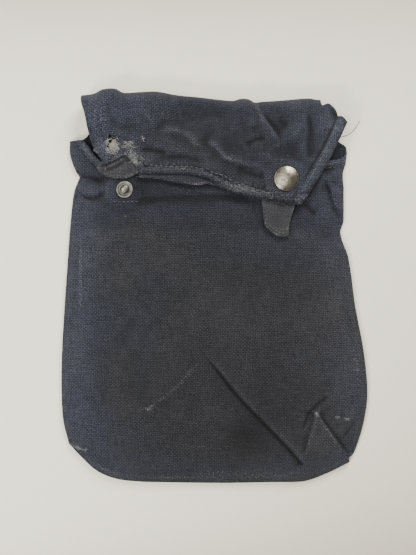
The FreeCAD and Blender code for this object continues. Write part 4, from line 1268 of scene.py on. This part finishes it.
# the rows on the flap: left hem and the row beside it, front hem and its right end, and right hem
flapStitches = [
    {"line": [(-72.6, 108), (-72.8, 100), (-71.6, 92), (-70.6, 86), (-68.8, 82)],
     "length": 1.9, "gap": 0.9, "radius": 0.27, "skip": 0.08, "seed": 6},
    {"line": [(-69.0, 108), (-69.2, 101), (-67.8, 94)],
     "length": 1.7, "gap": 1.1, "radius": 0.22, "skip": 0.3, "seed": 7},
    {"line": [(-43, 74.6), (-29.5, 73.4), (-15.5, 73.2), (-3.7, 70.7), (0.6, 69), (6, 67.6), (9.1, 65.6),
              (12.2, 63.6), (16.1, 61.6), (21.5, 60.3), (27, 58.9), (34, 56.6)],
     "length": 2.3, "gap": 0.8, "radius": 0.27, "skip": 0.06, "seed": 8},
    {"line": [(40, 55.6), (45, 55.2), (49.6, 55.0)],
     "length": 1.9, "gap": 0.8, "radius": 0.25, "skip": 0.0, "seed": 9},
    {"line": [(53.0, 57.5), (60.1, 69.4), (67, 82), (72.3, 94), (74.0, 99.6)],
     "length": 2.1, "gap": 0.9, "radius": 0.27, "skip": 0.10, "seed": 10},
]
flapRows = ThreadWork("flapStitching", sewingThread)
for stitches in flapStitches:
    flapRows.row(surface=flapHeight, **stitches)
flapRows.bartack((52.4, 54.6), -0.5, 4.2, 1.6, 8, flapHeight)
flapRows.bartack((-72.2, 82.8), -0.5, 2.8, 1.8, 6, flapHeight)
for a, b in (((31.6, 57.7), (35.3, 57.0)), ((35.3, 57.0), (35.0, 53.6)), ((35.0, 53.6), (31.8, 54.3)),
             ((31.8, 54.3), (31.6, 57.7)), ((31.9, 57.2), (34.8, 53.9))):
    flapRows.dash(a, b, flapHeight, 0.19, 0.06)
flapStitching = flapRows.build()
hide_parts("flap_stitching")
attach(flapStitching, "flap")

rightTabRows = ThreadWork("rightTabStitching", sewingThread)
rightTabRow = [(31.8, 46.8), (31.9, 42), (33.2, 38.1), (36.4, 35.2), (40, 33.0), (43.8, 32.8)]
rightTabRows.row(rightTabRow, rightTabHeight, length=1.5, gap=0.8, radius=0.2, skip=0.1, seed=11)
rightTabStitching = rightTabRows.build()
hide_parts("right_tab_stitching")
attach(rightTabStitching, "right_tab")
leftTabRows = ThreadWork("leftTabStitching", sewingThread)
leftTabRow = [(-69.8, 73.4), (-69.4, 71.6), (-66.8, 70.2), (-63.6, 68.2), (-59, 67.8), (-52, 68.2)]
leftTabRows.row(leftTabRow, leftTabHeight, length=1.1, gap=0.6, radius=0.18, skip=0.0, seed=12)
leftTabStitching = leftTabRows.build()
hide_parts("left_tab_stitching")
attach(leftTabStitching, "left_tab")


def tornPieces():
    # frayed yarns round the torn hole and on the bare cotton beside it, fibres on the wadding, and a knot
    luck = np.random.default_rng(17)
    frays = ThreadWork("tornFrays", paleThread, 5)
    centre = np.array(tear["at"])

    def stray(start, angle, length, radius, lift):
        bend = luck.uniform(-0.9, 0.9)
        t = np.linspace(0, 1, 6)
        heading = angle + bend * t
        steps = np.column_stack([np.cos(heading), np.sin(heading)]) * length / 5
        path = np.array(start) + np.cumsum(steps, axis=0) - steps[0]
        z = flapHeight(path[:, 0], path[:, 1]) + lift + 0.5 * luck.uniform(0, 1) * np.sin(math.pi * t)
        frays.strand(np.column_stack([path, z]), radius * (1 - 0.5 * t))

    for i in range(54):
        angle = luck.uniform(0, 2 * math.pi)
        reach = np.array(tear["size"]) * luck.uniform(0.85, 1.25)
        start = centre + reach * (math.cos(angle), math.sin(angle))
        stray(start, angle + luck.uniform(1.6, 4.4), luck.uniform(1.2, 3.4), luck.uniform(0.10, 0.19), 0.12)
    for i in range(20):
        along = luck.uniform(0, 1)
        start = (-51.8 + 4.6 * along + luck.uniform(-0.8, 1.6), 81.6 - 7.2 * along + luck.uniform(-0.6, 1.4))
        stray(start, luck.uniform(2.0, 2.9), luck.uniform(1.6, 4), luck.uniform(0.09, 0.16), 0.1)
    for i in range(16):
        start = (luck.uniform(-57, -49), luck.uniform(84.4, 88.5))
        stray(start, luck.uniform(-0.5, 0.7), luck.uniform(1.5, 3.5), luck.uniform(0.10, 0.17), 0.1)
    for i in range(40):
        start = (-62.6 + luck.uniform(-1.6, 2.6), 86.6 + luck.uniform(-3.4, 1.6))
        lift = waddingLift(*(np.array([c]) for c in start))[0] + 0.25
        stray(start, luck.uniform(-1.5, -0.6), luck.uniform(2.0, 4.2), luck.uniform(0.10, 0.20), lift)
    for i in range(6):
        upright = math.pi * (0.5 + i % 2) + luck.uniform(-0.45, 0.45) if i < 4 else luck.uniform(-0.4, 0.4)
        stray((-43.6, 90.0), upright, luck.uniform(1.2, 2.4), 0.2, 0.35)
    made = frays.build()
    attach(made, "flap")


def waddingLift(x, y):
    ridges = 0.28 * np.sin(2.6 * (x + 0.45 * y) + 1.5 * softNoise(x, y, 2.5, 62))
    return 1.5 * hump(x, y, (-61.4, 85.0), (3.0, 3.6)) + 0.3 * softNoise(x, y, 1.6, 61) + ridges - 1.25


def waddingHeight(x, v):
    points = foldedPoints(x, v)
    points[:, 2] += waddingLift(x, flapTurn - v)
    return points


wadLoop = closedLoop(unrolled([(-65.0, 83), (-63.8, 80.8), (-61.2, 80.0), (-58.4, 81.2), (-57.2, 84.2),
                               (-58.3, 87.6), (-60.6, 88.8), (-63.2, 87.0), (-65.0, 83)]), step=0.6)
wadding = flatLayer("tornWadding", wadLoop, 0.5, waddingHeight, 0.6, waddingFluff, flip=True, rings=(0.4,))
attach(wadding, "flap")
tornPieces()

loose = ThreadWork("looseThread", darkThread, 7)
looseLine = smoothRun([(75.5, 91.0, 15.6), (78, 91.5, 14.6), (81.8, 93.1, 12.8), (85.6, 96.2, 11.4),
                       (88, 99.8, 10.6), (89.3, 101.9, 10.9)], 1.0)
loose.strand(looseLine, 0.25)
looseThread = loose.build()
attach(looseThread, "flap")

print("stage 9: hardware")


def turned(name, centre, base, profile, material, segments, grimeAndShade, dents=None):
    # a turned metal piece: radius and height pairs swept round a vertical axis
    radii, heights = np.array(profile, float).T
    turns = np.arange(segments) * 2 * math.pi / segments
    ring = len(radii)
    points, faces = [], []
    for r, h in zip(radii, heights):
        for t in turns:
            points.append((centre[0] + r * math.cos(t), centre[1] + r * math.sin(t), base + h))
    points = np.array(points)
    if dents is not None:
        points[:, 2] += dents(points[:, 0] - centre[0], points[:, 1] - centre[1])
    for i in range(ring):
        j = (i + 1) % ring
        for k in range(segments):
            m = (k + 1) % segments
            faces.append((i * segments + k, i * segments + m, j * segments + m, j * segments + k))
    fromAxis = np.hypot(points[:, 0] - centre[0], points[:, 1] - centre[1])
    return makePiece(name, points, faces, material, {"grimeAndShade": grimeAndShade(fromAxis, points[:, 2] - base)})


def studRecessShade(radius, height):
    # painted shade in the stud's recesses: round its neck and inside its flange bead, on the low parts only
    low = 1 - ease(height, 0.7, 1.6)
    return 0.9 * bell(radius - 2.5, 0.5) * low + 0.65 * bell(radius - 4.25, 0.25) * low


def capGrime(radius, height):
    return 0.5 * bell(radius - 6.5, 0.28) + 0.12 * bell(radius - 5.2, 0.3)


def arcProfile(centre, radius, first, last, steps):
    angles = np.radians(np.linspace(first, last, steps))
    return [(centre[0] + radius * math.cos(a), centre[1] + radius * math.sin(a)) for a in angles]


cap = {"radius": 7.5, "height": 2.4, "dome": 1.75, "shell": 0.45, "rim": 0.55, "pin": 0.02}
stud = {"flange": 5.2, "flangeRound": 0.4, "neck": 2.1, "head": 2.75, "headAt": 2.1, "headHalf": 1.1,
        "pin": 0.02}


def capProfile():
    # domed top, rim rolled under, and the hollow inside
    sphere = (cap["radius"] ** 2 + cap["dome"] ** 2) / (2 * cap["dome"])
    dome = []
    for r in np.linspace(cap["pin"], cap["radius"] - 0.25, 22):
        dome.append((r, cap["height"] - sphere + math.sqrt(sphere**2 - r**2)))
    edge = arcProfile((cap["radius"] - cap["rim"], cap["rim"]), cap["rim"], 20, -90, 8)
    inside = [(cap["radius"] - 1.2, 0.0), (cap["radius"] - 1.1, 0.35)]
    hollow = [(r, h - cap["shell"]) for r, h in dome[-5::-4]]
    return dome + edge + inside + hollow + [(cap["pin"], cap["height"] - cap["shell"])]


def capDents(x, y):
    return 0.035 * softNoise(x, y, 2.0, 31) + 0.015 * softNoise(x, y, 0.8, 32)


def studProfile():
    # rolled flange with a dished middle, waisted neck and bulbed head
    bead = stud["flangeRound"]
    flangeEdge = arcProfile((stud["flange"] - bead, bead), bead, -90, 90, 9)
    dish = [(4.2, 0.78), (3.7, 0.62), (3.2, 0.5), (2.7, 0.5), (2.3, 0.62), (stud["neck"], 0.95),
            (stud["neck"], 1.3)]
    head = []
    for turn in np.radians(np.linspace(-35, 82, 18)):
        head.append((stud["head"] * math.cos(turn), stud["headAt"] + stud["headHalf"] * math.sin(turn)))
    crown = [(0.25, 3.15), (stud["pin"], 3.10)]
    return flangeEdge + dish + head + crown + [(stud["pin"], 0.3), (1.6, 0.3), (1.6, 0.0)]


snapCap = turned("snapCapDome", rightStudAt, capSeat, capProfile(), capMetal, 96, capGrime, capDents)
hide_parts("snap_cap")
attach(snapCap, "flap")
for side, at in (("left", leftStudAt), ("right", rightStudAt)):
    piece = turned(f"{side}StudTurned", at, studSeat, studProfile(), studMetal, 64, studRecessShade)
    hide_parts(f"stud_{side}")
    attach(piece, "front")

plainNodes = {"snap_post": brassMetal, "stud_post_left": brassMetal, "stud_post_right": brassMetal,
              "snap_socket": studMetal, "snap_spring": studMetal, "stud_patch_left": canvasCloth,
              "stud_patch_right": canvasCloth}
for node, finish in plainNodes.items():
    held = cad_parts[node]
    held.data.materials.clear()
    held.data.materials.append(finish)
